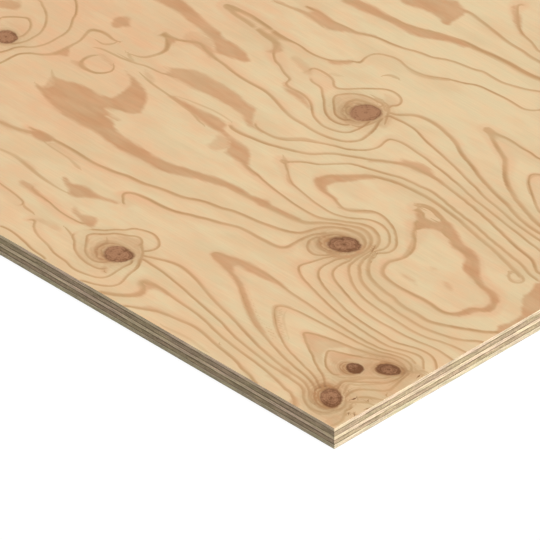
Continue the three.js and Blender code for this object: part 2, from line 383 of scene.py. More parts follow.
# Each has its depth of colour and its outline, read like the lines.
PATCHES = {
    "boomerang_and_its_long_tail": (1, (
        (421,208.5), (410,206.8), (400,204.3), (390,199.5), (383,192.5), (375.8,180), (378,175), (384,172),
        (397,167), (399,165.5), (394,164), (380,162), (380,160.3), (388,160), (391,158.5), (384,158),
        (380,156.5), (377,153.5), (372,151.5), (365,150.5), (340,149), (330,148.5), (320,149), (313,150.5),
        (308,153), (293,157), (283,161), (268,163.5), (258,164), (248,163), (234,167), (228,164.5),
        (202,167), (202,164.5), (210,162.5), (227,160.5), (233,157.5), (240,159), (250,160), (268,157),
        (275,154), (288,150), (313,138.8), (320,137.8), (330,138), (357,136.3), (385,139), (395,138),
        (415,138.5), (425,140), (435,143), (447,148), (454,149.3), (452,151.5), (447,153), (444,157),
        (449,164), (455,166.7), (441,169.5), (437,172), (431,173.5), (420,175), (413,174.5), (404,178),
        (403,182), (404,188), (404,193), (406,198), (409,202), (413,205), (421,207.5))),
    "long_wave": (1, (
        (376,211), (352,211.5), (340,214), (332,214.5), (326,214), (322,212), (320,208), (316,205.5),
        (310,204), (293,203.5), (288,201), (283,197.5), (280,193), (276,189), (270,186), (262,184.8),
        (262,182), (268,182.5), (275,184), (280,186), (285,187), (298,187), (302,195), (306,199), (312,201),
        (318,202), (333,202), (350,205), (365,207.5), (376,208))),
    "start_of_the_long_line": (0.75, (
        (413,270.5), (405,272), (398,272), (393,270), (388,266.5), (384,265.3), (384,263), (390,262.7),
        (396,264.5), (403,265.5), (410,265), (420,262.3), (417,266.5))),
    "under_the_wave": (0.5, (
        (319,200), (316,195), (314,189), (315.5,184.5), (309,183), (304,184.5), (302,190), (302,198),
        (307,201))),
    "head_of_the_wave": (0.8, (
        (302,201), (296,202), (290,200), (285,196.5), (278,188.5), (283,186), (291,185.5), (299,186.5),
        (301,192))),
    "grey_mouth": (0.5, (
        (447,153), (444,157), (445,162), (441,164), (438,158), (441,152))),
    "orange_band": (0.9, (
        (405,232.3), (400,234.5), (388,243), (384,245), (376,246), (360,246), (342,245), (328,241.5),
        (321,241), (318,236), (310,227), (305,224.8), (296,224.5), (296,222.8), (305,222.3), (311,222.8),
        (322,228.5), (330,229.5), (350,230), (358,229.5), (366,227.5), (392,226.5), (399,225.2),
        (399,226.8), (396,229.5), (400,231.5))),
    "upper_left_band": (1, (
        (470,296), (458,300), (438,296.5), (418,292), (406,290.5), (403,288), (399,287), (394,287.5),
        (376,285.5), (366,280.5), (367,277), (378,273), (389,270.5), (393,272), (401,278.5), (413,281),
        (442,286), (450,286.5), (470,285))),
    "under_the_upper_band": (0.35, (
        (424,274), (418,280), (408,280), (401,278), (397,273), (412,268), (420,266))),
    "triangle_by_the_hook": (0.9, (
        (434,259.5), (423,262.5), (420.5,261.5), (421,256), (419.5,251), (428,257))),
    "tail_of_the_oval": (0.85, (
        (457.5,190), (450,194.5), (444,191.5), (440,190.8), (441,188.8), (446,187.5), (455,189))),
    "top_of_the_oval": (0.45, (
        (450,211.5), (445,212.3), (434,209.3), (430,206.5), (429,204), (437,207), (441,207), (446,208.5))),
    "smear_under_the_hook": (0.5, (
        (412,219.5), (406,219), (401,217), (396,213.5), (396,210.5), (402,212), (407,214.5), (411,217.5))),
    "far_spot": (0.95, (
        (472,250), (471,254), (468,256.7), (464,256.7), (456.5,249), (459,247.5), (463,241.5), (466,240.3),
        (469,242.5), (471.5,246))),
    "quill": (0.95, (
        (359,84), (356,84.2), (352,82.7), (348,83), (344,85.5), (339,87), (334,87), (330,85.5), (324,86),
        (312,89), (307.5,89.3), (308,86.8), (314,85), (326,80), (334,72.5), (338,71.5), (342,72),
        (344,74.5), (347,76.5), (351,77.5), (358,81.5))),
    "small_quill": (0.95, (
        (327,63), (318,60.5), (314,61.5), (311,63.5), (307,64.5), (303,62), (298.5,55), (301,53.5),
        (305,52.5), (309,53), (322,56.8), (327,60))),
    "comma": (0.8, (
        (378.5,58), (376,60.3), (370,60.6), (346,55.6), (346,54), (370,54.8), (375,55.5))),
    "left_band": (1, (
        (417,106.5), (415,110.5), (411,112.5), (406,113.8), (401,113.8), (397,112.7), (395.5,109.5),
        (397,105.8), (400,103.8), (405,103.3), (411,104.3))),
    "tail_of_the_left_band": (0.55, (
        (446,101.5), (438,103.2), (430,103.6), (422,105), (417,107), (412,106), (414,103), (420,100.5),
        (427,98.5), (446,96))),
    "beside_the_left_band": (0.22, (
        (397,111), (388,110), (368,106), (360,103.5), (366,102), (388,103), (397,103.5))),
    "bud_by_the_first_knot": (0.6, (
        (262,28.5), (258,27), (254,24), (252.5,20), (256,19.5), (259.5,23))),
    "smudge_left_of_the_knot": (0.42, (
        (337,32), (334,36.5), (328,38), (320,38.5), (314,37.5), (312,34), (318,32.5), (325,33), (331,32))),
    "rim_spot": (0.85, (
        (548,206), (541,213), (535,216), (531,213.5), (529,209.5), (529,207), (541,199), (545,201))),
    "small_triangle": (0.95, (
        (471,200), (468,199), (462.5,192.5), (464,190), (471,186.5), (472.5,188), (471,191), (470.5,195))),
    "island_corner": (0.95, (
        (203,242), (208,240), (218,228), (226,219.5), (231,211), (228,207), (223,204), (218,202), (200,201),
        (200,203.5), (212,205), (216,207.5), (217.5,212), (216,217), (209,226), (203,236), (199,240))),
    "island_shore": (1, (
        (130,239.5), (122,239.5), (115,237), (100,229), (95,227.2), (80,225), (72,219), (60,207.5),
        (50,202.5), (38,201.5), (33,200), (29,196.5), (27,191), (24.5,187), (24,182), (27,178.5), (30,177),
        (33,166), (36,162), (40,160), (43,161), (40.5,164), (39.5,168), (39.5,171), (38.5,175.5),
        (31.5,180), (31,184), (32,189), (36,193.5), (41,196), (54,198.3), (74,204.5), (78,207), (80,211),
        (83,215), (88,218), (95,219), (100,219), (110,225), (118,226.7), (125,225.7), (130,222), (134,218),
        (138,220), (142,225), (152,234), (140,231.3), (133,231.5), (129,234))),
    "edge_shore": (0.9, (
        (27,229.5), (24,225), (20.5,217), (22,213), (19,209), (15,206), (13.5,203), (7,196), (5,192),
        (4.8,181), (6.5,178), (8,173), (5.5,170), (4,167), (-2,166), (-2,214), (4,222), (12,230), (20,236))),
    "olive_crescent": (0.55, (
        (49.5,225.5), (48,222.3), (44,220.3), (40,219.6), (36,221), (34.8,224.5), (36.5,227.5), (39,228.5),
        (37.8,226), (38,223.6), (40.5,222.2), (44,222.8), (46.5,224.5), (48,226.5))),
    "faint_streak": (0.6, (
        (105,169), (98,172), (91,171.7), (84,167.5), (91,168.3), (99,168.3))),
    "faint_fleck": (0.55, (
        (94,190.5), (90,192), (86,190.5), (90,189))),
    "faint_smudge": (0.5, (
        (77,183.5), (71,186.5), (64,184), (61,179.5), (67,180), (72,182.3))),
    "top_flag": (0.95, (
        (346,410), (334,428), (314,438), (308,435.5), (300,434), (298,428), (298,422), (297,416),
        (297,411.5), (301,410.5), (306,413), (312,414), (318,414), (324,413), (336,408.5), (341,408.5))),
    "upper_ribbon": (0.95, (
        (372,389), (352,391), (330,390.5), (320,391), (300,398), (294,401), (282,404.5), (266,407),
        (260,406.8), (260,405), (266,403.5), (270,400.8), (283,397.5), (302,386.5), (308,385.3),
        (324,385.4), (340,383.5), (356,380), (364,380), (372,379))),
    "top_slant": (0.9, (
        (281,464), (276,460), (266,456), (258,447), (250,441.8), (250,440), (254,441), (268,449), (276,456),
        (281,459.5))),
    "leaf": (0.85, (
        (384,358), (378,359.5), (371,360), (358,357.7), (338,360.5), (324,366.5), (324,364.5), (333,358.8),
        (343,354.8), (347,351), (351,348.5), (355,347), (366,348), (374,347.5), (382,348), (390,347.5),
        (408,343.5), (408,345.5), (402,348), (394,349), (381,352.5), (378,355), (381,356.8))),
    "stub": (0.75, (
        (328,320.8), (324,323.5), (317,331), (315.5,333.4), (312,330.5), (314,326.5), (317,322.5),
        (320,319.8), (324,318.8))),
    "hook": (0.8, (
        (372,310), (366,310), (361,308.5), (358.3,305.5), (361,297.5), (366,297.5), (365,301), (367,304),
        (370,307))),
    "cloud": (0.45, (
        (350,307), (343,308.5), (330,305.5), (325,303), (322,298), (327,296), (333,299), (347,302.5))),
    "ochre_band": (0.85, (
        (331,279), (326,276.5), (321,276), (315,277.5), (309,277), (304,275.5), (292,269), (292,267),
        (307,270.5), (322,272), (327,274), (330,277))),
    "wedge": (0.8, (
        (219,254.5), (200,268.5), (204,271.8), (198,273), (193,275.5), (187,277.3), (181,277.3), (175,275),
        (171,272.5), (160,270.5), (160,269), (168,269.3), (191,267), (197,265.5), (207,259.7), (218,251.7))),
    "outer_arrow": (0.95, (
        (217.5,93), (214,96.3), (200,100), (196,102), (190,103), (172,103), (148,100), (148,98.5),
        (177,95.3), (183,94), (192,94.5), (194,92.5), (192.5,89.5), (189,87), (174,80.3), (150,64.5),
        (138,57.3), (120,48.8), (120,46.8), (132,50.3), (144,56.5), (156,64), (172,75.6), (190,82.5),
        (212,88.5), (217,90.5))),
    "inner_arrow": (0.5, (
        (100.5,69), (95,73), (88,75.5), (64,80.3), (67,76), (71,72), (73.5,68), (73.5,63), (71,58.5),
        (62,50), (67,50.5), (91,62.7), (96,66))),
    "innermost_arrow": (0.5, (
        (71,65.5), (52,75.8), (50,74.5), (55.3,67), (57,63), (56.3,60), (54,57), (56,55), (60,56),
        (67.7,61.5))),
    "end_of_the_low_line": (0.75, (
        (52,8.5), (47,8.3), (42,6), (38.5,2.5), (37.5,0.3), (46.5,0.3), (50,6))),
    "head_of_the_low_quill": (0.6, (
        (226.7,31.7), (222.7,35), (217.3,36.3), (209,36.3), (202,35.3), (202,32), (209,32.3), (213.5,31.7),
        (216,29.5), (216.5,26.3), (214,22.3), (214,19.5), (216,15.7), (222.7,9.7), (231.3,3.7), (235,2),
        (231,7), (226.7,10.3), (223.3,14.3), (221.3,19), (220.7,23), (221.3,27.7))),
    "start_of_the_low_band": (0.45, (
        (211,3), (205,5), (195,10.7), (190,12.7), (184,13.7), (184,16.7), (196,16.7), (201,15.5),
        (204,12.5), (206,9), (209,6))),
    "under_the_roof": (0.5, (
        (281,60.5), (277,62.8), (271,65), (267,67.8), (264.5,67.8), (251.5,55), (255,54.5), (268,57.5),
        (274,58))),
    "under_the_small_quill": (0.4, (
        (322,59.5), (314,60.5), (307,58.5), (303,54.5), (309,53.2), (322,54.5))),
    "pink_on_the_long_line": (0.3, (
        (396,79.5), (390,79.8), (384,78.5), (379,76.5), (380,73.5), (386,74), (393,75.5))),
    "brown_wood_round_the_high_knot": (0.42, (
        (291,290.5), (290.5,294.5), (287,300.5), (282.5,305), (277,307.5), (270.5,308), (257,306.5),
        (250,301.5), (247,293.5), (250.5,285), (255.5,278), (262.5,274.5), (268.5,274), (278.5,280))),
    "brown_wood_past_the_high_knot": (0.4, (
        (250,297.5), (250.5,304), (244,302), (239.5,296), (238,288.5), (245,288.5))),
    "pink_wood_past_the_high_knot": (0.25, (
        (270.5,321), (264.5,322), (256,320), (251,316), (252,310.5), (256.5,309), (263,312.5))),
    "brown_wood_round_the_second_knot": (0.24, (
        (169,150.5), (175.5,158), (177.5,166.5), (173.5,174.5), (164,180), (154,181.5), (146,177),
        (140,168.5), (141.5,159.5), (148,152), (156.5,148.5))),
    "brown_wood_round_the_first_knot": (0.2, (
        (268.5,28), (278,34.5), (284,42.5), (284,51), (277.5,60.5), (269,67), (262,66.5), (254,58.5),
        (249,49.5), (250,38), (257.5,28.5))),
    "wood_between_the_small_knots": (0.6, (
        (43.5,70.5), (42,76.5), (35.5,79), (28.5,70), (29,63.5), (34.5,62))),
    "fringe_under_the_second_knot": (0.95, (
        (163.5,155), (157,154.5), (149,157), (145,163), (145,169.5), (146,176), (142,170.5), (140.5,163),
        (143,155), (150,150), (158,150))),
    "olive_wood_under_the_small_knots": (0.5, (
        (25,36), (27,53.5), (20,66.5), (10.5,77.5), (1.5,79.5), (-3,70), (-4,56.5), (-0.5,46), (8.5,37),
        (16.5,32.5))),
    "between_the_horns": (0.6, (
        (452,150), (449,154), (451.5,161.5), (455,168), (448,166.5), (437.5,161), (438,150), (443.5,146.5))),
    "olive_wood_round_the_knots": (0.3, (
        (56,46), (48,44), (40,44), (34,38), (24,33), (15,31), (8,36), (2,42), (1,60), (1,95), (9,99),
        (18,98.5), (28,97), (38,94), (55,86), (66,78.5), (55,72), (58,65), (57,57), (60,52))),
    "olive_wood_at_the_corner": (0.2, (
        (26,1), (1,1), (1,40), (8,36), (14,31), (20,31), (14,24), (13,16), (16,8))),
    "smear_at_the_corner": (0.5, (
        (12,1), (13.5,5), (13.3,10), (12.3,14.5), (10.8,17.5), (8.5,17), (5.5,12.5), (4,8), (4.3,3),
        (6,0.5))),
    "low_front_smear": (0.4, (
        (82,15), (76,14.6), (70,13), (64,12.3), (51,9), (46,6.5), (40,0.5), (47,0.5), (50,4), (55,7),
        (62,9.3), (82,12))),
    "ochre_smudge": (0.35, (
        (82,29), (78,31), (73,28), (69,24), (70,20), (75,21), (79,24))),
    "low_ochre_smudge": (0.3, (
        (77,14), (72,15.5), (67,13), (69,10), (74,10.5))),
}

# --- Single marks: lines that no ring joins, each narrowing at its two ends ---

# Each has its depth of colour and its course: along, across and how broad it is there, in millimetres.
STROKES = {
    "oval": (1.0, (
        (449,207.5,1.5), (451,204.5,2.4), (452,200,2.8), (451.5,196,2.8), (450,192.5,3), (447,190.5,3.2),
        (443,190,3), (438,190.3,2.8), (434,191.5,2.6), (431,194,2.4), (428.5,197.5,2), (427.6,200.5,1.8),
        (428,203,1.6), (429.5,205.5,1.3), (432,208,0.8))),
    "over_the_oval": (0.85, (
        (457,213,0.8), (452,215.5,2), (440,217,2), (433,217.7,2), (420,221,2), (414,223.2,1.8),
        (401,224.5,1.5), (396,226.3,1.5), (390,227.5,1))),
    "under_the_hook": (1.0, (
        (431,260,1.5), (423.5,254.5,4), (419,248.5,3.8), (418.2,245,3.2), (418.5,240,3), (421.5,232,2.8),
        (423.5,229.5,2.2), (427,227.3,1.8), (434,225.3,0.8))),
    "whisker": (0.6, (
        (437.5,225,0.8), (427,221.5,2.4), (423,220,1.2))),
    "left_hoop": (1.0, (
        (495,138,1.8), (491,152,2.2), (490,167,2.2), (487.5,172,2.2), (484,176,2.4), (479.5,178.7,2.4),
        (475.5,182,2.6), (472,187,4), (470.5,192,4.5), (470.3,205,2.4), (470,210,2.2), (471,215,2.2),
        (474,225.5,3.2), (471,229,3.4), (466,230.8,3.2), (460,230.8,3), (455,229.8,2.2), (451,230,1.5),
        (449,231.7,0.8))),
    "inner_hoop": (0.9, (
        (450.3,229,0.8), (450.7,226,2), (453,222.5,2.4), (456.5,220.5,2), (463,220.7,0.7))),
    "wave_lead": (0.65, (
        (412,214,0.8), (400,211.3,2), (390,210,2), (380,209.2,2), (364,207.2,2.6), (350,205.3,2.4),
        (339,201.5,1.8), (333,200.7,1.2))),
    "over_the_wave": (0.4, (
        (371,212.7,0.8), (362,214.7,1.6), (352,216.5,1.8), (342,218,1.8), (332,218.3,1.6), (322,217.5,1))),
    "left_band_low": (0.75, (
        (447,99,1.6), (432,101.2,2.4), (424,102.3,2.2), (410,107,1.2))),
    "left_band_foot": (0.6, (
        (399,104.7,1), (390,103.9,1.5), (380,103.3,1.5), (372,102.7,1.9), (361,100,3), (357.5,99.3,1.2))),
    "lower_grey_tip": (0.5, (
        (455,152,1.2), (447,149.3,4), (436,145.5,1.5))),
    "upper_grey_tip": (0.45, (
        (458,171,1), (455,168.7,2.4), (451,166.3,3), (446,164.7,3.6), (441,163.5,2))),
    "dark_elbow": (0.75, (
        (300,224.3,1.5), (291,224.8,2.6), (284,226.5,3.6), (279,230,4.2), (274,235,4.6), (268.5,239.5,4.4),
        (256,245,1.6))),
    "second_tip": (0.5, (
        (266,213.5,1), (262,211.3,3), (258,208.5,3.2), (249,201.5,1.6))),
    "thick_of_the_fourth": (0.55, (
        (248,199.5,1.6), (244,197,3.2), (240,194.7,3.6), (236,193.2,2.4), (231,192.3,1.2))),
    "roof_upper": (0.95, (
        (156,239.5,1.5), (151,242,2.6), (145,242.8,3), (138,241.8,3), (125,237.5,3.6), (120,235.5,3))),
    "roof_lower": (0.8, (
        (153,238,1.5), (150,235,3), (145,231.7,3.4), (139,229.5,4), (132,229.5,4), (126,230.5,3))),
    "thick_by_the_second_knot": (0.6, (
        (191,197.3,2.5), (184,200.5,4.5), (178,204.7,5), (169.5,210.3,2.2))),
    "crack_1": (0.8, (
        (143.5,181,0.6), (141,176,1.2), (139.5,170.5,1.1), (139.5,165,0.6))),
    "crack_2": (0.75, (
        (137,173,0.6), (134.5,168,1.2), (133,163,0.6))),
    "crack_3": (0.75, (
        (131.5,174,0.6), (130.2,170,1.3), (131,166,0.6))),
    "crack_4": (0.75, (
        (147.5,160,0.6), (145.5,155,1.3), (147,150.5,1.2), (148.5,148,0.6))),
    "crack_5": (0.7, (
        (153,158,0.6), (150.5,154,1.3), (151,150,0.6))),
    "second_arrow_tip": (0.55, (
        (129,85,1.2), (134,82.7,2.8), (137,79.5,3.6), (136.3,75.8,4), (125.5,64.5,3.2), (118,58.7,2.8),
        (110,53.7,2))),
    "inside_the_second_arrow": (0.25, (
        (128,78,1), (124,72,2), (117,66,2), (103,56.5,1))),
    "thick_of_the_low_line": (0.6, (
        (109,9.3,2), (96,5.5,4), (90,3.8,3.6), (84,1.5,2.2))),
    "thick_of_the_arrow": (0.6, (
        (186,84,2.5), (176,79,4), (166,72.5,5), (156,66,5.5), (146,59.5,6), (136,54.3,6), (126,50,5),
        (116,46,3.4), (106,42.3,2))),
    "between_the_small_knots": (0.75, (
        (37.3,37.5,1.7), (37,41,2.5), (38,45,2.3), (36.8,48,2.1), (34.2,50.5,2.2), (28,61.2,2.3),
        (21.5,67.3,2.2), (19.2,70.3,2.3), (17.3,73.5,1.2))),
    "by_the_purple_wood": (0.69, (
        (27,36,1.2), (28.3,38.5,2.1), (32,45.6,2.3), (31,48,2.1), (28.6,49,2.7), (26.5,50.7,2.1),
        (17.6,61.5,2.2), (14.2,67.5,2.7), (12.7,74,1.2))),
    "round_the_small_knots": (1.0, (
        (22.5,34,1.4), (23.7,37,2.4), (24.1,40.3,2.6), (22.6,46.8,2.6), (15.3,53.3,2.5), (9.3,57.7,2.4),
        (7.3,60.5,2.6), (6.5,63.8,2.8), (9.7,78,2), (11,87,1.8), (13.5,91.5,2), (18,95,1.8), (23,96.3,1.7))),
    "to_the_end_1": (0.94, (
        (15.3,39.5,1), (14.7,41,2.9), (9.4,45.6,2.9), (1.2,49.7,2))),
    "to_the_end_2": (0.69, (
        (15.8,31,1.2), (14.5,32.6,2.3), (7.1,39.1,2.3), (0.6,40.9,1.9))),
    "under_the_corner_knot": (0.65, (
        (31,4.8,1.5), (25,5,2.2), (21.5,5.8,3), (18.8,8.2,3.4), (16.5,12,3.4), (14.8,16.8,3),
        (14.4,20.9,2.6), (15.3,25.6,2.2), (17.6,29.1,1.8), (21.2,32,1))),
    "near_the_very_corner": (0.81, (
        (13.5,31,1), (12.7,28.8,2.1), (10.3,25.6,2.5), (10,21,2.5), (4.9,13.2,2.7), (3.6,8.5,2.9),
        (3.8,4,3.1), (4.5,1,2.5))),
    "across_the_very_corner": (0.4, (
        (9,21,1), (5,22.5,1.6), (1,24.5,1.4))),
    "olive_shade": (0.5, (
        (38,51,1), (36,53.3,2.4), (34.5,56,2.6), (33.3,58.7,1.5))),
    "near_the_bend": (0.62, (
        (12.3,94,1.2), (9,92.5,2.5), (6.5,95.5,2.3), (3,96.5,2))),
    "under_the_bend": (0.56, (
        (12.5,86,1.2), (9.5,89.5,2.3), (6,92,2.1), (2.5,92.6,1.9))),
    "roof_of_the_arrow": (0.45, (
        (66,79,1.5), (50,83.7,4.6), (45,85.4,4.4), (35,90.3,2))),
    "speck_1": (1.9, (
        (4.2,90,0.8), (3.7,88.7,1.5), (3.5,87.6,0.8))),
    "speck_2": (1.7, (
        (4.5,57,0.8), (3.8,56,1.5), (2.8,55.3,0.8))),
    "speck_3": (2.0, (
        (16.6,37.8,0.8), (16.6,36.2,1.7), (17.2,34.8,0.8))),
    "speck_4": (1.5, (
        (8.6,42.3,0.8), (8,41.5,1.6), (7.4,41.3,0.8))),
    "speck_5": (1.7, (
        (1.5,35.6,0.8), (1.5,34,1.4), (1.7,33,0.8))),
    "speck_6": (1.4, (
        (7.4,21.6,0.8), (6.8,20.6,1.6), (6.2,20,0.8))),
    "speck_7": (1.5, (
        (3.8,23.6,0.8), (3.1,22.9,1.5), (2.5,22.3,0.8))),
    "speck_8": (1.3, (
        (10,27.5,0.8), (9.8,25,1.1), (9.9,23,0.6))),
    "speck_9": (1.4, (
        (255.6,22,0.6), (255,21.5,1.2), (254.2,21.3,0.6))),
    "thick_of_the_long_line": (0.4, (
        (240,60,1.5), (227,64,3.4), (220,64.3,3.6), (205,62.2,3.2), (192,58.2,3.2), (185,55.4,3),
        (178,52.7,2))),
    "along_the_left_rim": (0.4, (
        (179,3.3,1.5), (170,4,2.5), (160,5,3), (150,5.2,3), (140,3.8,3), (132,3,1.5))),
    "speck_10": (1.1, (
        (134,16.6,0.6), (133.3,16,1.3), (132.7,15.8,0.6))),
    "roof_of_the_first_knot": (0.9, (
        (262.8,67.3,1.8), (259,63.1,2.4), (254.2,59.3,2.2), (250.4,55.4,2.2), (244.7,46.5,2.6),
        (243.3,42.5,2))),
    "inside_the_first_arrow": (0.45, (
        (290.5,41,1), (289.3,38.5,1.8), (286.6,34.5,1.8), (282.5,31,1.6), (278,28.3,1.2))),
    "second_pith_ring": (0.5, (
        (283,52,1), (280,49,2.4), (279,44,3), (280.5,39,2.6), (277.5,35,2.2), (273.5,32,1.6))),
    "under_the_quill": (0.68, (
        (418.5,75.5,2.4), (408,77.3,2.8), (400,77.6,3.2), (386,75.2,3.4), (370,72.4,2.8), (354,71.4,2),
        (346,71.5,1.6), (341,72.3,1.2))),
    "end_of_the_small_line": (0.7, (
        (357,41,1.6), (353,38.2,2.2), (348,37.3,2.4), (342,36.8,1.4))),
    "start_of_the_third_arrow": (0.7, (
        (314,40.5,1), (306,37.9,2), (301,35.6,2))),
    "olive_oval": (0.8, (
        (49,226,2), (45,221.5,2.4), (40,219.5,2.4), (35.5,221,2.2), (34,225,2), (38,228.6,2.2),
        (44,229.2,2.2), (48.5,227.5,2))),
    "over_the_high_knot": (0.85, (
        (278.5,288.5,1.5), (280,293,2.5), (279.5,297,3), (277.5,301,3.2), (268,303.5,2.5), (263,304.5,2))),
    "loop_by_the_high_knot": (0.8, (
        (274.5,291,1), (276,290,1.3), (275.5,287,1.7), (272.5,284,1.7), (269,283,1.3), (268,285,1))),
    "high_strand_1": (0.8, (
        (270,310.5,1.3), (265,310.5,2), (260,309,2), (254.5,305.5,1.7))),
    "high_strand_2": (0.8, (
        (262,312,1.3), (256.5,310.5,2), (251,305.5,2.2), (243,294,1.4))),
    "high_strand_3": (0.7, (
        (274.5,312,1), (269,312,1.7), (265,313,1.7))),
    "under_the_high_knot": (0.7, (
        (258,275.5,1.4), (253.5,277.5,2), (250.5,283,2), (248.5,295,1.4))),
    "mark_over_the_high_knot": (0.3, (
        (314,306.5,1.5), (313.5,310.5,3), (309.5,311.5,3.5), (307,313,2))),
    "mark_left_of_the_high_knot": (0.25, (
        (329,297.5,1.5), (328,300.5,2.2), (327.5,303.5,1.4))),
    "under_the_second_knot": (0.6, (
        (157,153,1.5), (152,153,2.2), (147,155.5,2.6), (143,159,2.8), (141,164.5,2.4), (142,170.5,1.6))),
    "left_of_the_second_knot": (0.6, (
        (161,151.5,1.3), (166.5,151,2), (171,153.5,2), (174,158.5,2), (174,164,1.5))),
    "roof_of_the_far_arrow": (0.5, (
        (172,341.5,2), (160,342,2.6), (150,342,2.6), (140,341,2))),
    "far_hook": (0.5, (
        (118,327,2), (122,323,3.4), (121,318,3), (116,312,2.4), (108,306,2))),
    "tail_of_the_high_smear": (0.6, (
        (404,345,1.6), (388,349,3), (380,350.5,3), (372,350,2.4), (360,347.5,2))),
    "arc_over_the_small_knots": (0.7, (
        (48.5,77,1.8), (42.5,81,2.2), (35,84.5,2.2), (21.5,87.5,2.2), (15.5,87.5,2), (11.5,89.5,1.6))),
    "arc_under_the_small_knots": (0.55, (
        (44.5,47.5,1.8), (38.5,51,2), (28.5,63,1.8), (21.5,68,1.8))),
    "smudge_on_the_long_bank": (0.6, (
        (132.5,215,1.5), (126.5,207,3.4), (121.5,199.5,4.4), (118,192.5,4), (116.5,185.5,2.2))),
    "flecks_past_the_second_knot": (1.4, (
        (140,181,1.4), (135,170,2), (133.5,163.5,1.4))),
    "far_flecks_past_the_second_knot": (1.45, (
        (132.5,175.5,1.2), (130.5,170,1.8), (128.5,165,1.2))),
    "fleck_past_the_far_small_knot": (1.4, (
        (20,88,1.4), (16.5,88,1.8), (12.5,88.5,1.2))),
    "smudge_over_the_high_knot": (0.65, (
        (285.5,335,1.4), (283,338.5,2.6), (278.5,339.5,3.2), (275,340,1.5))),
    "flush_on_the_high_line": (0.62, (
        (285,355,2), (274.5,353.5,4), (264,355.5,4.6), (255,360.5,4), (247.5,365,2))),
    "broad_start_of_the_left_band": (0.7, (
        (444,99.5,2.6), (426.5,102,3.2), (419,105,3), (413.5,107,2))),
}

# --- The figure: how many growth rings deep the knife cuts at each place on the face ---

LINE_REACH = 12.0       # how far from a line that was read its ring is looked for
LINE_SPARE = (0.6, 2.6)     # a line is whole this far past its own side, and gone this far past it
FLUSH_SPARE = (3.0, 10.0)   # the same for the flush of warm colour beside it
LINE_SIDE = 0.95        # how far a line's own side is from its course, as a share of its breadth
LEAST_BREADTH = 1.5     # a line is at least this broad, in millimetres
BREADTH_BLEND = 50.0    # the square millimetres over which one line's breadth goes over into the next one's
FAR_SHARE = 1e-6        # what a line counts for its breadth at places far from every line
LOG_TURN = 248.0        # the face repeats each time the log has turned once, which is this far across
TURN_DRIFT = 0.22       # how fast the figure changes from one turn to the next
READ_LENGTH = 560.0     # the lines above hold this far along and this far across
READ_WIDTH = 490.0
BLEND_LENGTH = 130.0    # the log's own shape carries on this much further along
LOG_UNIT = 100.0        # the surface of rings is worked out in units of this many millimetres
SLACK = 2e-4            # how loosely that surface holds to the lines and spots
AT_ONCE = 4000          # how many places are worked out at a time

# The lines and knots were read in an even view of the near corner, where both edges rise at the same slope.
FRAME_PIXELS = 540
CORNER_PIXEL = (334.5, 428.4)
PIXELS_PER_MM = 1.3949
READ_ALONG = 0.7        # how much too far along, and across, the places were read
READ_ACROSS = 0.4

# The read corner goes on while a place is no more than this much further along than across, further across
# than along, and along and across together.
CORNER_REACHES = (350.0, 221.0, 766.0)
CORNER_EDGE = 8.0       # within this much of its edge it goes over into the rest


def set_right(along, across):
    """The true place of one that was read in the even view."""
    along -= READ_ALONG
    across -= READ_ACROSS
    right = CORNER_PIXEL[0] + PIXELS_PER_MM * math.sqrt(1 / 2) * (across - along)
    down = CORNER_PIXEL[1] - PIXELS_PER_MM * math.sqrt(1 / 6) * (across + along)
    level = Vector((0, 0, 1)).cross(VIEW_BACK).normalized()
    upright = VIEW_BACK.cross(level)
    reach = SENSOR / LENS / FRAME_PIXELS
    sideways = level * (right - FRAME_PIXELS / 2) * reach
    downwards = upright * (down - FRAME_PIXELS / 2) * reach
    ray = sideways - downwards - VIEW_BACK
    place = EYE + ray * ((CAD_BOX[1].z - EYE.z) / ray.z)
    return (CAD_BOX[1].x - place.x) / MM, (place.y - CAD_BOX[0].y) / MM


def smooth_step(value, low, high):
    """0 below low, 1 above high, and a smooth rise between them."""
    share = np.clip((value - low) / (high - low), 0, 1)
    return share * share * (3 - 2 * share)


def on_the_log(along, across):
    """Where a place on the veneer was on the log's skin: places one turn apart lie close together."""
    angle = 2 * math.pi * across / LOG_TURN
    radius = LOG_TURN / (2 * math.pi)
    parts = [along, radius * np.cos(angle), radius * np.sin(angle), TURN_DRIFT * across]
    return np.stack(parts, axis=-1) / LOG_UNIT


def plate(gap_squared):
    """The bend of a thin plate over a gap, which joins the lines with the smoothest surface."""
    return 0.5 * gap_squared * np.log(np.maximum(gap_squared, 1e-9))


def squared_gaps(first, second):
    """The squared gap from each of the first places to each of the second."""
    sizes = (first ** 2).sum(-1)[:, None] + (second ** 2).sum(-1)[None]
    return np.maximum(sizes - 2 * first @ second.T, 0)


def off_the_run(along, across, first, second):
    """How far down a straight run its spot nearest to each place lies, and how far off that spot each is."""
    run = (second[0] - first[0], second[1] - first[1])
    share = (along - first[0]) * run[0] + (across - first[1]) * run[1]
    share = np.clip(share / max(run[0] ** 2 + run[1] ** 2, 1e-9), 0, 1)
    return share, along - first[0] - share * run[0], across - first[1] - share * run[1]


def course_gap(along, across, course):
    """How far each place is from a line, in millimetres."""
    nearest = np.full(len(along), np.inf)
    for first, second in zip(course, course[1:]):
        _, ahead, aside = off_the_run(along, across, first, second)
        nearest = np.minimum(nearest, np.hypot(ahead, aside))
    return nearest


def close_by(along, across, course, reach):
    """Which places lie in the box round a course, when it is this much wider on every side."""
    low = [min(spot[axis] for spot in course) - reach for axis in (0, 1)]
    high = [max(spot[axis] for spot in course) + reach for axis in (0, 1)]
    return (along > low[0]) & (along < high[0]) & (across > low[1]) & (across < high[1])


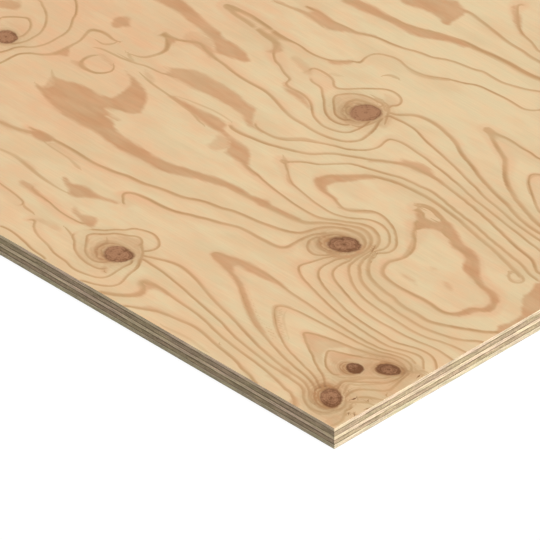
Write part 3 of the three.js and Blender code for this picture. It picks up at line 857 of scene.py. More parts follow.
class Figure:
    """The surface of growth rings through the lines and spots of the read corner."""

    def __init__(self, more_spots):
        places, rings, breadths = [], [], []
        self.courses = []
        for ring, breadth, line in GROWTH_LINES.values():
            course = [set_right(*spot) for spot in line]
            places += course
            rings += [ring] * len(course)
            breadths += [max(breadth, LEAST_BREADTH)] * len(course)
            if breadth > 0:
                self.courses.append((round(ring), LINE_SIDE * breadth, course))
        self.lined = len(places)
        for along, across, ring in RING_SPOTS:
            places.append(set_right(along, across))
            rings.append(ring)
        for along, across, ring in more_spots:
            places.append((along, across))
            rings.append(ring)
        places = np.array(places)
        self.flat = places[: self.lined]
        self.breadths = np.array(breadths)
        self.places = on_the_log(places[:, 0], places[:, 1])
        count = len(places)
        tilt = np.hstack([np.ones((count, 1)), self.places])
        system = np.zeros((count + 5, count + 5))
        system[:count, :count] = plate(squared_gaps(self.places, self.places)) + np.eye(count) * SLACK
        system[:count, count:] = tilt
        system[count:, :count] = tilt.T
        self.weights = np.linalg.solve(system, np.concatenate([rings, np.zeros(5)]))

    def ring(self, along, across):
        """The growth ring at each place, and how many rings pass in a millimetre there."""
        places = on_the_log(along, across)
        angle = 2 * math.pi * across / LOG_TURN
        rings = np.empty(len(places))
        slopes = np.empty(len(places))
        count = len(self.places)
        weights = self.weights[:count]
        pulls = np.hstack([weights[:, None], weights[:, None] * self.places])
        tilt = self.weights[count + 1:]
        for start in range(0, len(places), AT_ONCE):
            part = slice(start, start + AT_ONCE)
            gaps = np.maximum(squared_gaps(places[part], self.places), 1e-9)
            logs = np.log(gaps)
            rings[part] = 0.5 * (gaps * logs) @ weights + self.weights[count] + places[part] @ tilt
            pulled = (logs + 1) @ pulls
            rise = places[part] * pulled[:, :1] - pulled[:, 1:] + tilt
            turn = angle[part]
            over = rise[:, 2] * np.cos(turn) - rise[:, 1] * np.sin(turn) + rise[:, 3] * TURN_DRIFT
            slopes[part] = np.hypot(rise[:, 0], over) / LOG_UNIT
        return rings, slopes

    def shown(self, along, across, rings):
        """1 where a line that was read runs close by, 0 where the surface only happens to pass its ring.

        The second number is the same for the flush of warm colour beside the line, which reaches further.
        """
        nearest = np.full(len(along), LINE_REACH)
        whole = np.round(rings)
        for ring, side, course in self.courses:
            near = close_by(along, across, course, LINE_REACH) & (whole == ring)
            if near.any():
                past = course_gap(along[near], across[near], course) - side
                nearest[near] = np.minimum(nearest[near], past)
        return 1 - smooth_step(nearest, *LINE_SPARE), 1 - smooth_step(nearest, *FLUSH_SPARE)

    def breadth(self, along, across):
        """How broad the nearest line is drawn, in millimetres."""
        turned = np.mod(across, LOG_TURN)
        places = np.stack([along, np.where(across < READ_WIDTH, across, turned)], axis=-1) / LOG_UNIT
        lines = self.flat / LOG_UNIT
        breadths = np.empty(len(places))
        for start in range(0, len(places), 2 * AT_ONCE):
            part = slice(start, start + 2 * AT_ONCE)
            gaps = squared_gaps(places[part], lines) * LOG_UNIT ** 2
            share = np.exp(-gaps / BREADTH_BLEND) + FAR_SHARE / (gaps + 1)
            breadths[part] = (share @ self.breadths) / share.sum(1)
        return breadths


def inside_outline(along, across, outline):
    """How far inside a closed outline each place is, in millimetres: negative outside it."""
    nearest = course_gap(along, across, outline + outline[:1])
    crossings = np.zeros(len(along), dtype=int)
    for first, second in zip(outline, outline[1:] + outline[:1]):
        run = (second[0] - first[0], second[1] - first[1])
        straddles = (first[1] > across) != (second[1] > across)
        if first[1] != second[1]:
            meets = first[0] + run[0] * (across - first[1]) / run[1]
            crossings += straddles & (along < meets)
    return np.where(crossings % 2 == 1, nearest, -nearest)


PATCH_REACH = 6.0       # a patch is felt this far from its outline, in millimetres
PATCH_SHRINK = 0.7      # how much further in its outline lies at each further turn of the log
STRONG_PATCH = 0.6      # patches deeper in colour than this are met this often, the others once
PATCH_SPELLS = 4
PATCH_SPELL = 640.0     # they are met again this far along, and every second time mirrored
PATCH_WANDER = (14.0, 8.0)  # how far along and across a patch has wandered at each further turn
PATCH_EDGE = 1.2        # where patches overlap, the one that covers most at this softness of edge is taken


def patches_on(along, across, width):
    """How far inside a dark patch each place is, and that patch's depth of colour.

    The patches of the read corner come again outside it: at each turn of the log, and some further along.
    """
    inside = np.full(len(along), -PATCH_REACH)
    depths = np.zeros(len(along))
    covers = np.zeros(len(along))
    in_corner = off_the_read_corner(along, across) < 0
    for number, (depth, outline) in enumerate(PATCHES.values()):
        spots = [set_right(*spot) for spot in outline]
        spells = range(PATCH_SPELLS if depth > STRONG_PATCH else 1)
        turns = range(-1, int(width / LOG_TURN) + 2)
        for spell, turn in [(spell, turn) for spell in spells for turn in turns]:
            change = abs(turn) + 2 * spell
            down = noise.noise(Vector((number * 5.1, turn * 2.3, 0.3 + spell)))
            over = noise.noise(Vector((number * 3.7, turn * 1.9, 6.1 + spell)))
            mirror = -1 if spell % 2 == 1 else 1
            shift = (
                spell * PATCH_SPELL + down * PATCH_WANDER[0] * change,
                (turn + spell % 2) * LOG_TURN + over * PATCH_WANDER[1] * change,
            )
            moved = [(spot[0] + shift[0], mirror * spot[1] + shift[1]) for spot in spots]
            near = close_by(along, across, moved, PATCH_REACH)
            near &= in_corner if change == 0 else ~in_corner
            if not near.any():
                continue
            found = inside_outline(along[near], across[near], moved) - PATCH_SHRINK * change
            cover = depth / (1 + np.exp(-found / PATCH_EDGE))
            better = cover > covers[near]
            inside[near] = np.where(better, found, inside[near])
            depths[near] = np.where(better, depth, depths[near])
            covers[near] = np.where(better, cover, covers[near])
    return np.clip(inside, -PATCH_REACH, PATCH_REACH), depths


STROKE_REACH = 6.0      # a stroke is felt this far from its course, in millimetres


def rounded(course, between=3):
    """The same course with this many more spots between each two, on a smooth curve through its own."""
    ends = [course[0]] + list(course) + [course[-1]]
    line = []
    for before, first, second, after in zip(ends, ends[1:], ends[2:], ends[3:]):
        for step in range(between + 1):
            share = step / (between + 1)
            spot = []
            for one, two, three, four in zip(before, first, second, after):
                bend = 2 * one - 5 * two + 4 * three - four
                twist = 3 * two - one - 3 * three + four
                spot.append(two + 0.5 * share * (three - one + share * (bend + share * twist)))
            line.append(tuple(spot))
    return line + [course[-1]]


def strokes_on(along, across):
    """The nearest stroke to each place: the side it lies to, the gap, its half breadth and its depth."""
    sides = np.full(len(along), STROKE_REACH)
    gaps = np.full(len(along), STROKE_REACH)
    halves = np.full(len(along), 0.5)
    depths = np.zeros(len(along))
    for depth, course in STROKES.values():
        line = rounded([(*set_right(spot[0], spot[1]), 0.5 * spot[2]) for spot in course])
        near = close_by(along, across, line, STROKE_REACH)
        if not near.any():
            continue
        side, gap, half, deep = sides[near], gaps[near], halves[near], depths[near]
        for first, second in zip(line, line[1:]):
            share, ahead, aside = off_the_run(along[near], across[near], first, second)
            apart = np.hypot(ahead, aside)
            better = apart < gap
            on_the_left = (second[0] - first[0]) * aside > (second[1] - first[1]) * ahead
            side = np.where(better, np.where(on_the_left, apart, -apart), side)
            half = np.where(better, first[2] + share * (second[2] - first[2]), half)
            deep = np.where(better, depth, deep)
            gap = np.where(better, apart, gap)
        sides[near], gaps[near], halves[near], depths[near] = side, gap, half, deep
    return sides, gaps, halves, depths


# --- The knots ---

# Length and breadth are half of the knot's own, in millimetres, and its tilt is in degrees. Narrowing is how
# much it narrows to its lower end. Dark and halo are how strong those are, and the halo leans to one side.
Knot = namedtuple("Knot", "along across length breadth tilt narrowing dark halo lean_along lean_across")
# On the first turn of the log.
KNOTS = (
    Knot(262.7, 43.9, 11.6, 10.0, -30, 0.2, 0.36, 0.75, 5.0, -1.5),
    Knot(157.6, 166.9, 12.3, 9.9, -27, 0, 0.62, 0.85, 4.2, -2.6),
    Knot(25.1, 79.6, 9.7, 6.7, -24, 0.2, 0.9, 1.0, -1, 1),
    Knot(43.4, 63.5, 6.9, 5.9, 6, -0.1, 1.15, 1.0, 2.6, -2.6),
    Knot(29.2, 25.7, 12.2, 7.8, 40, 0, 0.66, 1.3, 3.2, -1.2),
    Knot(511.2, 177.7, 9.0, 8.5, -5, 0, 0.4, 0.5, 1, -1),
)
# The first knot as the knife meets it again, one turn of the log further in.
HIGH_KNOT = Knot(262.2, 293.6, 11.9, 10.6, -42, 0.1, 0.24, 0.7, 3.0, -3.0)
# Further down the log, one whorl of branches after another.
FAR_KNOTS = (
    Knot(742, 96, 11, 8, 12, 0.2, 0.6, 0.9, 2, -2),
    Knot(768, 212, 8, 6.5, -20, 0, 0.9, 0.7, 2, -2),
    Knot(1128, 30, 12, 9, -8, 0.1, 0.5, 1.0, 3, -3),
    Knot(1149, 138, 7, 6, 15, -0.1, 0.8, 0.6, 1, -1),
    Knot(1171, 226, 9, 8, 25, 0.2, 0.5, 0.8, 2, -2),
    Knot(1487, 70, 8, 7, -15, 0, 0.9, 0.8, 2, -2),
    Knot(1508, 186, 12, 9, 5, 0.1, 0.5, 1.0, 3, -3),
    Knot(1886, 122, 10, 8, 20, -0.1, 0.7, 0.9, 1, -1),
    Knot(1907, 14, 7, 6, 0, 0.2, 0.8, 0.6, 2, -2),
    Knot(2263, 203, 11, 9, -12, 0, 0.6, 0.9, 3, -3),
    Knot(2284, 66, 8, 7, 18, 0.1, 0.9, 0.7, 2, -2),
)
KNOT_DRIFT = 0.6        # each turn inwards, a knot is this much smaller, in millimetres
KNOT_WANDER = 8.0       # and has moved this far along
KNOT_MARGIN = 20.0      # a knot still counts when its middle is this far off the sheet


def knots_on(width):
    """Every knot on the sheet: each is met again at every turn of the log, a little smaller and moved."""
    found = []
    for number, first in enumerate(KNOTS + FAR_KNOTS):
        for turn in range(-1, int(width / LOG_TURN) + 2):
            high = (number, turn) == (0, 1)
            knot = HIGH_KNOT if high else first
            if number < len(KNOTS):
                along, across = set_right(knot.along, knot.across)
                knot = knot._replace(along=along, across=across)
            if not high:
                wander = noise.noise(Vector((number * 7.3, turn * 3.1, 0.5))) * min(abs(turn), 2)
                knot = knot._replace(
                    along=knot.along + wander * KNOT_WANDER,
                    across=knot.across + turn * LOG_TURN,
                    length=knot.length - KNOT_DRIFT * turn,
                    breadth=knot.breadth - KNOT_DRIFT * turn,
                )
            if -KNOT_MARGIN < knot.across < width + KNOT_MARGIN:
                found.append(knot)
    return found


# --- The rest of the log, past the read corner ---

LOG_STEP = 105.0        # how far apart along the log its heart is placed
LOG_SPOTS = 6           # how many times round each of those places
HEART_OFF = (2.3, 2.4)  # how many rings off the middle the heart lies, and how much that swings
HEART_SIDE = (0.28, 0.75)   # how far round it lies, in turns, and how much that swings
MIDDLE_RING = (-1.2, 3.0)   # the ring in the middle of the cut, and how much that swings
RIPPLE = 0.5            # how many rings the log's skin bulges in or out
NARROWEST = 0.012       # a line's least and greatest half breadth, as a share of the gap between two lines
BROADEST = 0.34
OUT_OF_REACH = 4.0      # a place is this far from every knot, in knots, unless one is nearer
# How many rings the cut rises at a knot past the read corner, and how far out, in knots.
KNOT_SWELLS = ((3.2, 2.0), (0.9, 4.5))


def swing(along, length, *seed):
    """A smooth swing between about -1 and 1 down the log, with lumps of this length."""
    return noise.noise(Vector((along / length, *seed)))


def log_spots(length):
    """Places round the log past the read corner, and their rings: its heart wanders off the middle."""
    spots = []
    along = READ_LENGTH + BLEND_LENGTH
    while along < length + LOG_STEP:
        heart = HEART_OFF[0] + HEART_OFF[1] * swing(along, 300, 9.1, 4.4)
        side = 2 * math.pi * (HEART_SIDE[0] + HEART_SIDE[1] * swing(along, 420, 3.7, 0.2))
        middle = MIDDLE_RING[0] + MIDDLE_RING[1] * swing(along, 350, 1.3, 7.7)
        for part in range(LOG_SPOTS):
            across = LOG_TURN * part / LOG_SPOTS
            angle = 2 * math.pi * part / LOG_SPOTS
            ripple = RIPPLE * swing(along, 90, math.cos(angle) * 2, math.sin(angle) * 2)
            spots.append((along, across, middle + heart * math.cos(angle - side) + ripple))
        along += LOG_STEP
    return spots


def off_the_read_corner(along, across):
    """How far past the read corner a place is, in millimetres: negative inside it."""
    off_the_sides = np.maximum(along - across - CORNER_REACHES[0], across - along - CORNER_REACHES[1])
    return np.maximum(off_the_sides, along + across - CORNER_REACHES[2])


def in_knot(along, across, knot):
    """A place as the knot sees it, down its length and over its breadth, with its rim 1 from its heart."""
    turned = math.radians(knot.tilt)
    ahead = along - knot.along
    aside = across - knot.across
    with_it = (ahead * math.cos(turned) + aside * math.sin(turned)) / knot.length
    over_it = aside * math.cos(turned) - ahead * math.sin(turned)
    return with_it, over_it / (knot.breadth * (1 + knot.narrowing * np.clip(with_it, -1, 1)))


# Broad washes over the pale wood: along, across, how far each reaches, and how warm it is, or pale below 0.
WASHES = (
    (460, 212, 130, 0.75),
    (248, 406, 90, -0.6),
    (300, 250, 90, -0.35),
    (134, 140, 26, 0.6),
    (44, 80, 22, 0.7),
)


def knot_readings(along, across, width):
    """What each place has of its nearest knot and halo, and how many rings the knots raise it."""
    gaps = np.full(len(along), OUT_OF_REACH)
    lengths = gaps.copy()
    halo_gaps = gaps.copy()
    breadths, darks, halos, swells = np.zeros((4, len(along)))
    for knot in knots_on(width):
        with_it, over_it = in_knot(along, across, knot)
        gap = np.hypot(with_it, over_it)
        nearer = gap < gaps
        gaps = np.minimum(gaps, gap)
        lengths = np.where(nearer, with_it, lengths)
        breadths = np.where(nearer, over_it, breadths)
        darks = np.where(nearer, knot.dark, darks)
        steeped = np.hypot(*in_knot(along - knot.lean_along, across - knot.lean_across, knot))
        halos = np.where(steeped < halo_gaps, knot.halo, halos)
        halo_gaps = np.minimum(halo_gaps, steeped)
        for rise, reach in KNOT_SWELLS:
            swells = swells + rise * np.exp(-((gap / reach) ** 2))
    readings = {
        "knot": gaps, "knot_length": lengths, "knot_breadth": breadths, "knot_dark": darks,
        "halo": halos, "halo_gap": halo_gaps,
    }
    return readings, swells


def warmth_at(along, across):
    """How warm the washes make the pale wood at each place."""
    warmths = np.zeros(len(along))
    for middle_along, middle_across, reach, warmth in WASHES:
        gap_squared = (along - middle_along) ** 2 + (across - middle_across) ** 2
        warmths = warmths + warmth * np.exp(-gap_squared / reach ** 2)
    return warmths


def face_figure(along, across, length, width):
    """Every reading of the figure at each place of the face, by the name that the materials give it."""
    figure = Figure(log_spots(length))
    rings, slopes = figure.ring(along, across)
    outside = smooth_step(off_the_read_corner(along, across), -CORNER_EDGE, CORNER_EDGE)
    readings, swells = knot_readings(along, across, width)
    rings = rings + swells * outside
    shown, flushed = figure.shown(along, across, rings)
    shown = shown + (1 - shown) * outside
    flushed = flushed + (1 - flushed) * outside
    bands = np.clip(0.5 * figure.breadth(along, across) * slopes, NARROWEST, BROADEST)
    patches, depths = patches_on(along, across, width)
    sides, gaps, halves, stroke_depths = strokes_on(along, across)
    readings.update({
        "ring": rings, "band": bands, "shown": shown, "flushed": flushed, "warmth": warmth_at(along, across),
        "patch": patches, "patch_depth": depths,
        "stroke": sides, "stroke_gap": gaps, "stroke_half": halves, "stroke_depth": stroke_depths,
    })
    return readings


# --- Small helps for the materials ---


def new_material(name):
    """A cleared material with one Principled shader, and the two of them."""
    material = bpy.data.materials.new(name)
    material.use_nodes = True
    tree = material.node_tree
    tree.nodes.clear()
    output = tree.nodes.new("ShaderNodeOutputMaterial")
    shader = tree.nodes.new("ShaderNodeBsdfPrincipled")
    tree.links.new(shader.outputs["BSDF"], output.inputs["Surface"])
    return material, tree, shader


class Tone:
    """A number that a material works out at each place, on which plain arithmetic works."""

    def __init__(self, socket):
        self.socket = socket

    def step(self, operation, *others):
        """One step of arithmetic on it, by a node of its own."""
        node = self.socket.id_data.nodes.new("ShaderNodeMath")
        node.operation = operation
        for value, socket in zip((self, *others), node.inputs):
            plug(value, socket)
        return Tone(node.outputs[0])

    def __add__(self, other):
        return self.step("ADD", other)

    def __sub__(self, other):
        return self.step("SUBTRACT", other)

    def __mul__(self, other):
        return self.step("MULTIPLY", other)


def plug(value, socket):
    """Joins a tone or another output to a socket, or writes a plain number or colour on it."""
    output = value.socket if isinstance(value, Tone) else value
    if isinstance(output, bpy.types.NodeSocket):
        socket.id_data.links.new(output, socket)
    elif isinstance(value, tuple) and len(value) == 3 and socket.type == "RGBA":
        socket.default_value = (*value, 1)
    else:
        socket.default_value = value


def fade(tree, value, low, high, start=0.0, end=1.0):
    """A smooth change from start to end as the value goes from low to high."""
    node = tree.nodes.new("ShaderNodeMapRange")
    node.interpolation_type = "SMOOTHSTEP"
    plug(value, node.inputs["Value"])
    plug(low, node.inputs["From Min"])
    plug(high, node.inputs["From Max"])
    plug(start, node.inputs["To Min"])
    plug(end, node.inputs["To Max"])
    return Tone(node.outputs["Result"])


def stain(tree, amount, under, over, way="MIX"):
    """Lays one colour over another."""
    node = tree.nodes.new("ShaderNodeMix")
    node.data_type = "RGBA"
    node.blend_type = way
    plug(amount, node.inputs["Factor"])
    plug(under, node.inputs[6])
    plug(over, node.inputs[7])
    return node.outputs[2]


def place_on_sheet(tree):
    """The place on the sheet, in metres, and its three parts."""
    place = tree.nodes.new("ShaderNodeTexCoord").outputs["Object"]
    parts = tree.nodes.new("ShaderNodeSeparateXYZ")
    plug(place, parts.inputs[0])
    return place, *(Tone(part) for part in parts.outputs)


def grain(tree, place, cell, detail=2.0, roughness=0.5):
    """Even noise from 0 to 1 whose lumps are this long, wide and deep in millimetres."""
    stretch = tree.nodes.new("ShaderNodeVectorMath")
    stretch.operation = "MULTIPLY"
    plug(place, stretch.inputs[0])
    plug(tuple(1000 / size for size in cell), stretch.inputs[1])
    node = tree.nodes.new("ShaderNodeTexNoise")
    node.inputs["Scale"].default_value = 1.0
    node.inputs["Detail"].default_value = detail
    node.inputs["Roughness"].default_value = roughness
    plug(stretch.outputs[0], node.inputs["Vector"])
    return Tone(node.outputs[0])


def swings(tree, place, cell, detail=2.0, roughness=0.5):
    """The same noise, swinging about nothing."""
    return grain(tree, place, cell, detail, roughness) - 0.5


def reading(tree, name):
    """One of the numbers that the mesh carries at each of its corners."""
    node = tree.nodes.new("ShaderNodeAttribute")
    node.attribute_name = name
    return Tone(node.outputs["Fac"])


def relief(tree, shader, height, depth):
    """Presses the height into the surface, to this depth in metres."""
    node = tree.nodes.new("ShaderNodeBump")
    node.inputs["Distance"].default_value = depth
    plug(height, node.inputs["Height"])
    plug(node.outputs[0], shader.inputs["Normal"])


# --- The sizes and colours that a user would change ---


class SheetSizes(bpy.types.PropertyGroup):
    corner_cell: bpy.props.FloatProperty(
        name="Corner cell", description="The mesh's cell where the figure is finest",
        default=2.1 * MM, min=1.5 * MM, max=10 * MM, unit="LENGTH",
    )
    far_cell: bpy.props.FloatProperty(
        name="Far cell", description="The mesh's cell on the rest of the face",
        default=8.5 * MM, min=3 * MM, max=30 * MM, unit="LENGTH",
    )
    arris: bpy.props.FloatProperty(
        name="Arris", description="How far the sheet's sharp edges are eased",
        default=0.08 * MM, min=0.02 * MM, max=1 * MM, unit="LENGTH",
    )
    glue_groove: bpy.props.FloatProperty(
        name="Glue groove", description="How deep each glue line lies in the sawn edge",
        default=0.15 * MM, min=0.02 * MM, max=0.5 * MM, unit="LENGTH",
    )
    saw_wander: bpy.props.FloatProperty(
        name="Saw wander", description="How far the sawn edge is from flat",
        default=0.12 * MM, min=0.0, max=0.5 * MM, unit="LENGTH",
    )


def wood_colour(name, description, red, green, blue):
    """A colour that a user may change, which is at first this red, green and blue out of 255 on screen."""
    return bpy.props.FloatVectorProperty(
        name=name, description=description, subtype="COLOR",
        size=3, default=screen_colour(red, green, blue), min=0, max=1,
    )


class SheetColours(bpy.types.PropertyGroup):
    earlywood: wood_colour("Earlywood", "The pale wood between the lines", 230, 203, 160)
    heartwood: wood_colour("Heartwood", "The slightly darker clouds in the pale wood", 221, 189, 146)
    summerwood: wood_colour("Summerwood", "The pale wood close to a line", 227, 185, 143)
    latewood: wood_colour("Latewood", "The lines of dark wood", 191, 149, 102)
    patch: wood_colour("Patches", "The broad patches of dark wood", 200, 151, 108)
    knot: wood_colour("Knot", "The heart of a knot", 170, 123, 89)
    knot_rim: wood_colour("Knot rim", "The rim of a knot, and the darkest knots", 110, 68, 37)
    halo: wood_colour("Halo", "The wood steeped in resin round a knot", 178, 133, 90)
    long_grain: wood_colour("Sawn thin plies", "The face and centre plies on the sawn edge", 242, 220, 189)
    back_edge: wood_colour("Sawn back ply", "The back ply on the sawn edge", 226, 212, 181)
    crossband: wood_colour("Sawn crossbands", "The two crossbands on the sawn edge", 203, 182, 150)
    glue: wood_colour("Glue", "The glue lines", 120, 99, 73)
    floor: bpy.props.FloatVectorProperty(
        name="Floor", description="The floor, in the light it throws back on the sheet", subtype="COLOR",
        size=3, default=(0.6, 0.59, 0.58), min=0, max=1,
    )


def sizes():
    return bpy.context.scene.sheet_sizes


def colours():
    return bpy.context.scene.sheet_colours


# --- Materials ---

# The wood of the face is a little pinker in some places than in others.
ROSY_TINT = (1.025, 0.987, 0.977)
STRAW_TINT = (0.975, 1.013, 1.022)


def face_material(name, figured=True):
    """Rotary-cut pine: the growth lines, the knots and the fibres of one veneer."""
    paint = colours()
    material, tree, shader = new_material(name)
    place = place_on_sheet(tree)[0]
    fibres = grain(tree, place, (55, 1.6, 20), 3.0, 0.6)
    ring, band = (reading(tree, "ring"), reading(tree, "band")) if figured else plain_rings(tree, place)
    dark, off_line = dark_lines(tree, ring, band, fibres)
    pale = pale_wood(tree, place, off_line, band, figured)
    lines = tuple(paint.latewood)
    if figured:
        patch = broad_patches(tree, place)
        pale = stain(tree, patch, pale, tuple(paint.patch))
        dark = (dark * reading(tree, "shown")).step("MAXIMUM", single_marks(tree, fibres))
        dark = dark * fade(tree, patch, 0.32, 0.9, 1.0, 0.25)
        steeped = steeping(tree, place)
        pale = stain(tree, steeped, pale, tuple(paint.halo))
        lines = stain(tree, steeped * 0.45, lines, tuple(paint.knot_rim))
    dark = dark * fade(tree, grain(tree, place, (70, 14, 30)), 0.3, 0.7, 0.62, 1.0)
    wood = stain(tree, dark, pale, lines)
    wood = stain(tree, fade(tree, dark, 0.9, 1.5), wood, tuple(paint.knot_rim))
    wood = streaked(tree, place, wood)
    height = fibres + dark * 0.5
    if figured:
        wood, bark = with_knots(tree, place, wood)
        height = height - bark
    plug(wood, shader.inputs["Base Color"])
    plug(fade(tree, dark, 0.0, 1.0, 0.62, 0.52), shader.inputs["Roughness"])
    shader.inputs["Specular IOR Level"].default_value = 0.25
    relief(tree, shader, height, 0.08 * MM)
    return material


def plain_rings(tree, place):
    """The ring and its line's half breadth on the back, a plain veneer, from the lie of the log alone."""
    swell = grain(tree, place, (900, 150, 400), 1.5, 0.45)
    ripple = grain(tree, place, (160, 38, 100))
    return swell * 15.0 + ripple * 0.9, 0.13


def dark_lines(tree, ring, band, fibres):
    """How dark each place is with latewood, and how many rings it is off the nearest line.

    The fibres feather each line a little along the grain. The dark wood ends sharply where the next year's
    growth begins, and on its other side it pales away slowly.
    """
    feathered = (fibres - 0.5) * (band * 0.7) + ring
    off_line = feathered - feathered.step("ROUND")
    sharp_side = fade(tree, off_line, band * -1.25, band * -0.35)
    slow_side = fade(tree, off_line, band * 0.1, band * 1.9, 1.0, 0.0)
    return sharp_side * slow_side, off_line


def pale_wood(tree, place, off_line, band, figured):
    """The pale wood between the lines: flushed beside them, blushed in places, and damper in others."""
    paint = colours()
    flush = fade(tree, off_line, -0.16, -0.02) * fade(tree, off_line, 0.02, 0.5, 1.0, 0.0)
    flush = flush * fade(tree, grain(tree, place, (120, 45, 60)), 0.3, 0.7, 0.55, 1.0)
    if figured:
        flush = flush * reading(tree, "flushed")
    blush = fade(tree, grain(tree, place, (42, 16, 30), 3.0), 0.38, 0.68, 0.0, 0.5)
    warm = flush.step("MAXIMUM", blush)
    if figured:
        warm = warm + reading(tree, "warmth")
    pale = stain(tree, warm, tuple(paint.earlywood), tuple(paint.summerwood))
    damp = fade(tree, grain(tree, place, (60, 22, 30)), 0.45, 0.7, 0.0, 0.6)
    damp = damp.step("MAXIMUM", fade(tree, band, 0.06, 0.2, 0.0, 0.75))
    return stain(tree, damp, pale, tuple(paint.heartwood))


def broad_patches(tree, place):
    """How far the dark wood of the broad patches shows, with ragged ends that the fibres draw out."""
    ragged = swings(tree, place, (11, 2.6, 8), 3.0, 0.6)
    patch = fade(tree, ragged * 4.0 + reading(tree, "patch"), -1.8, 2.1)
    wet = fade(tree, grain(tree, place, (34, 9, 20), 3.0, 0.55), 0.25, 0.75, 0.68, 1.0)
    return patch * reading(tree, "patch_depth") * wet


def streaked(tree, place, wood):
    """The wood with its fine streaks, and with its change of tint from place to place."""
    streaks = fade(tree, grain(tree, place, (38, 0.9, 10), 3.0, 0.65), 0.2, 0.8, 0.955, 1.035)
    wood = stain(tree, 1.0, wood, as_grey(tree, streaks), "MULTIPLY")
    rosy = fade(tree, grain(tree, place, (19, 11, 14), 3.0, 0.6), 0.34, 0.66)
    return stain(tree, 1.0, wood, stain(tree, rosy, STRAW_TINT, ROSY_TINT), "MULTIPLY")


def single_marks(tree, fibres):
    """How dark the strokes are here: full in the middle of each, and feathered by the fibres beside it."""
    half = reading(tree, "stroke_half")
    feather = (fibres - 0.5) * half.step("MINIMUM", 0.9)
    off = (reading(tree, "stroke") + feather).step("ABSOLUTE")
    mark = fade(tree, off, half * 0.3, half * 1.6, 1.0, 0.0)
    spare = half * -1.6 + reading(tree, "stroke_gap")
    return mark * fade(tree, spare, 1.1, 1.9, 1.0, 0.0) * reading(tree, "stroke_depth")


def mottle(tree, place):
    """Two irregular patterns, a coarse and a close one."""
    return swings(tree, place, (7, 6, 7), 2.0, 0.55), swings(tree, place, (2.2, 1.8, 2), 2.0, 0.6)


def steeping(tree, place):
    """How far the wood round a knot is steeped in its resin, in rings that fade outwards."""
    coarse, close = mottle(tree, place)
    out = coarse * 0.6 + reading(tree, "halo_gap")
    round_it = (out * 19.0 + close * 2.0).step("SINE")
    steeped = round_it * 0.17 + fade(tree, coarse, -0.25, 0.15, 0.55, 1.0)
    reach = fade(tree, out, 1.15, 1.5, 1.0, 0.0) * 0.65 + fade(tree, out, 1.1, 3.2, 0.4, 0.0)
    return steeped * reach * reading(tree, "halo")


def vector_step(tree, operation, vector):
    """One step of arithmetic on a vector."""
    node = tree.nodes.new("ShaderNodeVectorMath")
    node.operation = operation
    plug(vector, node.inputs[0])
    return node


def with_knots(tree, place, wood):
    """Lays the knots over the wood: a heart with rings and rays, and a broken dark rim of bark."""
    paint = colours()
    coarse, close = mottle(tree, place)
    spot = tree.nodes.new("ShaderNodeCombineXYZ")
    plug(reading(tree, "knot_length"), spot.inputs[0])
    plug(reading(tree, "knot_breadth"), spot.inputs[1])
    true_gap = Tone(vector_step(tree, "LENGTH", spot.outputs[0]).outputs["Value"])
    gap = true_gap + coarse * 0.52 + close * 0.14
    near = fade(tree, reading(tree, "knot"), 1.1, 1.22, 1.0, 0.0)
    depth = reading(tree, "knot_dark")

    # The heart has its own rings and rays, and is darker towards its rim, with a small pith.
    heading = vector_step(tree, "NORMALIZE", spot.outputs[0]).outputs[0]
    rays = swings(tree, heading, (260, 260, 1000), 2.0, 0.6)
    ringed = (gap * 30.0 + close * 5.0).step("SINE")
    pith = fade(tree, true_gap, 0.08, 0.2, 1.0, 0.0)
    tone = ringed * 0.2 + rays * 1.2 + close * 0.6 + coarse * 1.3 + pith * 0.5
    tone = tone + fade(tree, gap, 0.45, 0.92) * 0.5 + depth * 1.05 - 0.55
    tone = tone - reading(tree, "knot_length") * 0.26
    heart = stain(tree, fade(tree, tone, -0.35, 1.0), tuple(paint.knot), tuple(paint.knot_rim))
    inside = fade(tree, gap, 0.84, 1.1, 1.0, 0.0) * near
    wood = stain(tree, inside * fade(tree, depth, 0.0, 0.3, 0.72, 1.0), wood, heart)

    # The bark round the heart is broken, and darkest on the darkest knots.
    bark = fade(tree, gap, 0.82, 0.95) * fade(tree, gap, 0.97, 1.12, 1.0, 0.0)
    bark = bark * near * fade(tree, coarse, -0.2, 0.2, 0.1, 1.0) * (depth * 0.4 + 0.18)
    return stain(tree, bark, wood, tuple(paint.knot_rim)), bark


def as_grey(tree, value):
    """A number as a grey colour."""
    node = tree.nodes.new("ShaderNodeCombineColor")
    for socket in node.inputs:
        plug(value, socket)
    return node.outputs[0]


# The darkest and palest streak on a sawn edge, as shares of the ply's own colour, and its change of tint.
STREAK_TONES = (0.58, 1.19)
WARM_TINT = (1.04, 0.98, 1.0)
COOL_TINT = (0.98, 1.0, 0.91)
HATCH_SLANT = 0.8       # how far the saw's marks lean over in the height of the edge
GLUE_HALF = 0.15 * MM   # how far a glue line itself goes into each of its two plies
# How far the glue has soaked into a ply beyond that, and how much of it shows where least of it does.
CROSSBAND_SOAK = (0.95 * MM, 0.4)
THIN_PLY_SOAK = (0.45 * MM, 0.1)
GLUE_FOOT = 0.3 * MM    # how far below a crossband's lower glue line the glue begins to show
PRESSED_EDGE = 0.2 * MM     # over how much height the ply that is pressed up into a crossband ends
DARK_FOOT = (0.2 * MM, 0.9 * MM)   # the foot of the edge is darker up to the first of these heights, and fades out by the second


def slanted(tree, along, across, up):
    """The place on the sheet, leant over along both edges, which slants the saw's marks."""
    lean = tree.nodes.new("ShaderNodeCombineXYZ")
    plug(along + up * HATCH_SLANT, lean.inputs[0])
    plug(across - up * HATCH_SLANT, lean.inputs[1])
    plug(up, lean.inputs[2])
    return lean.outputs[0]


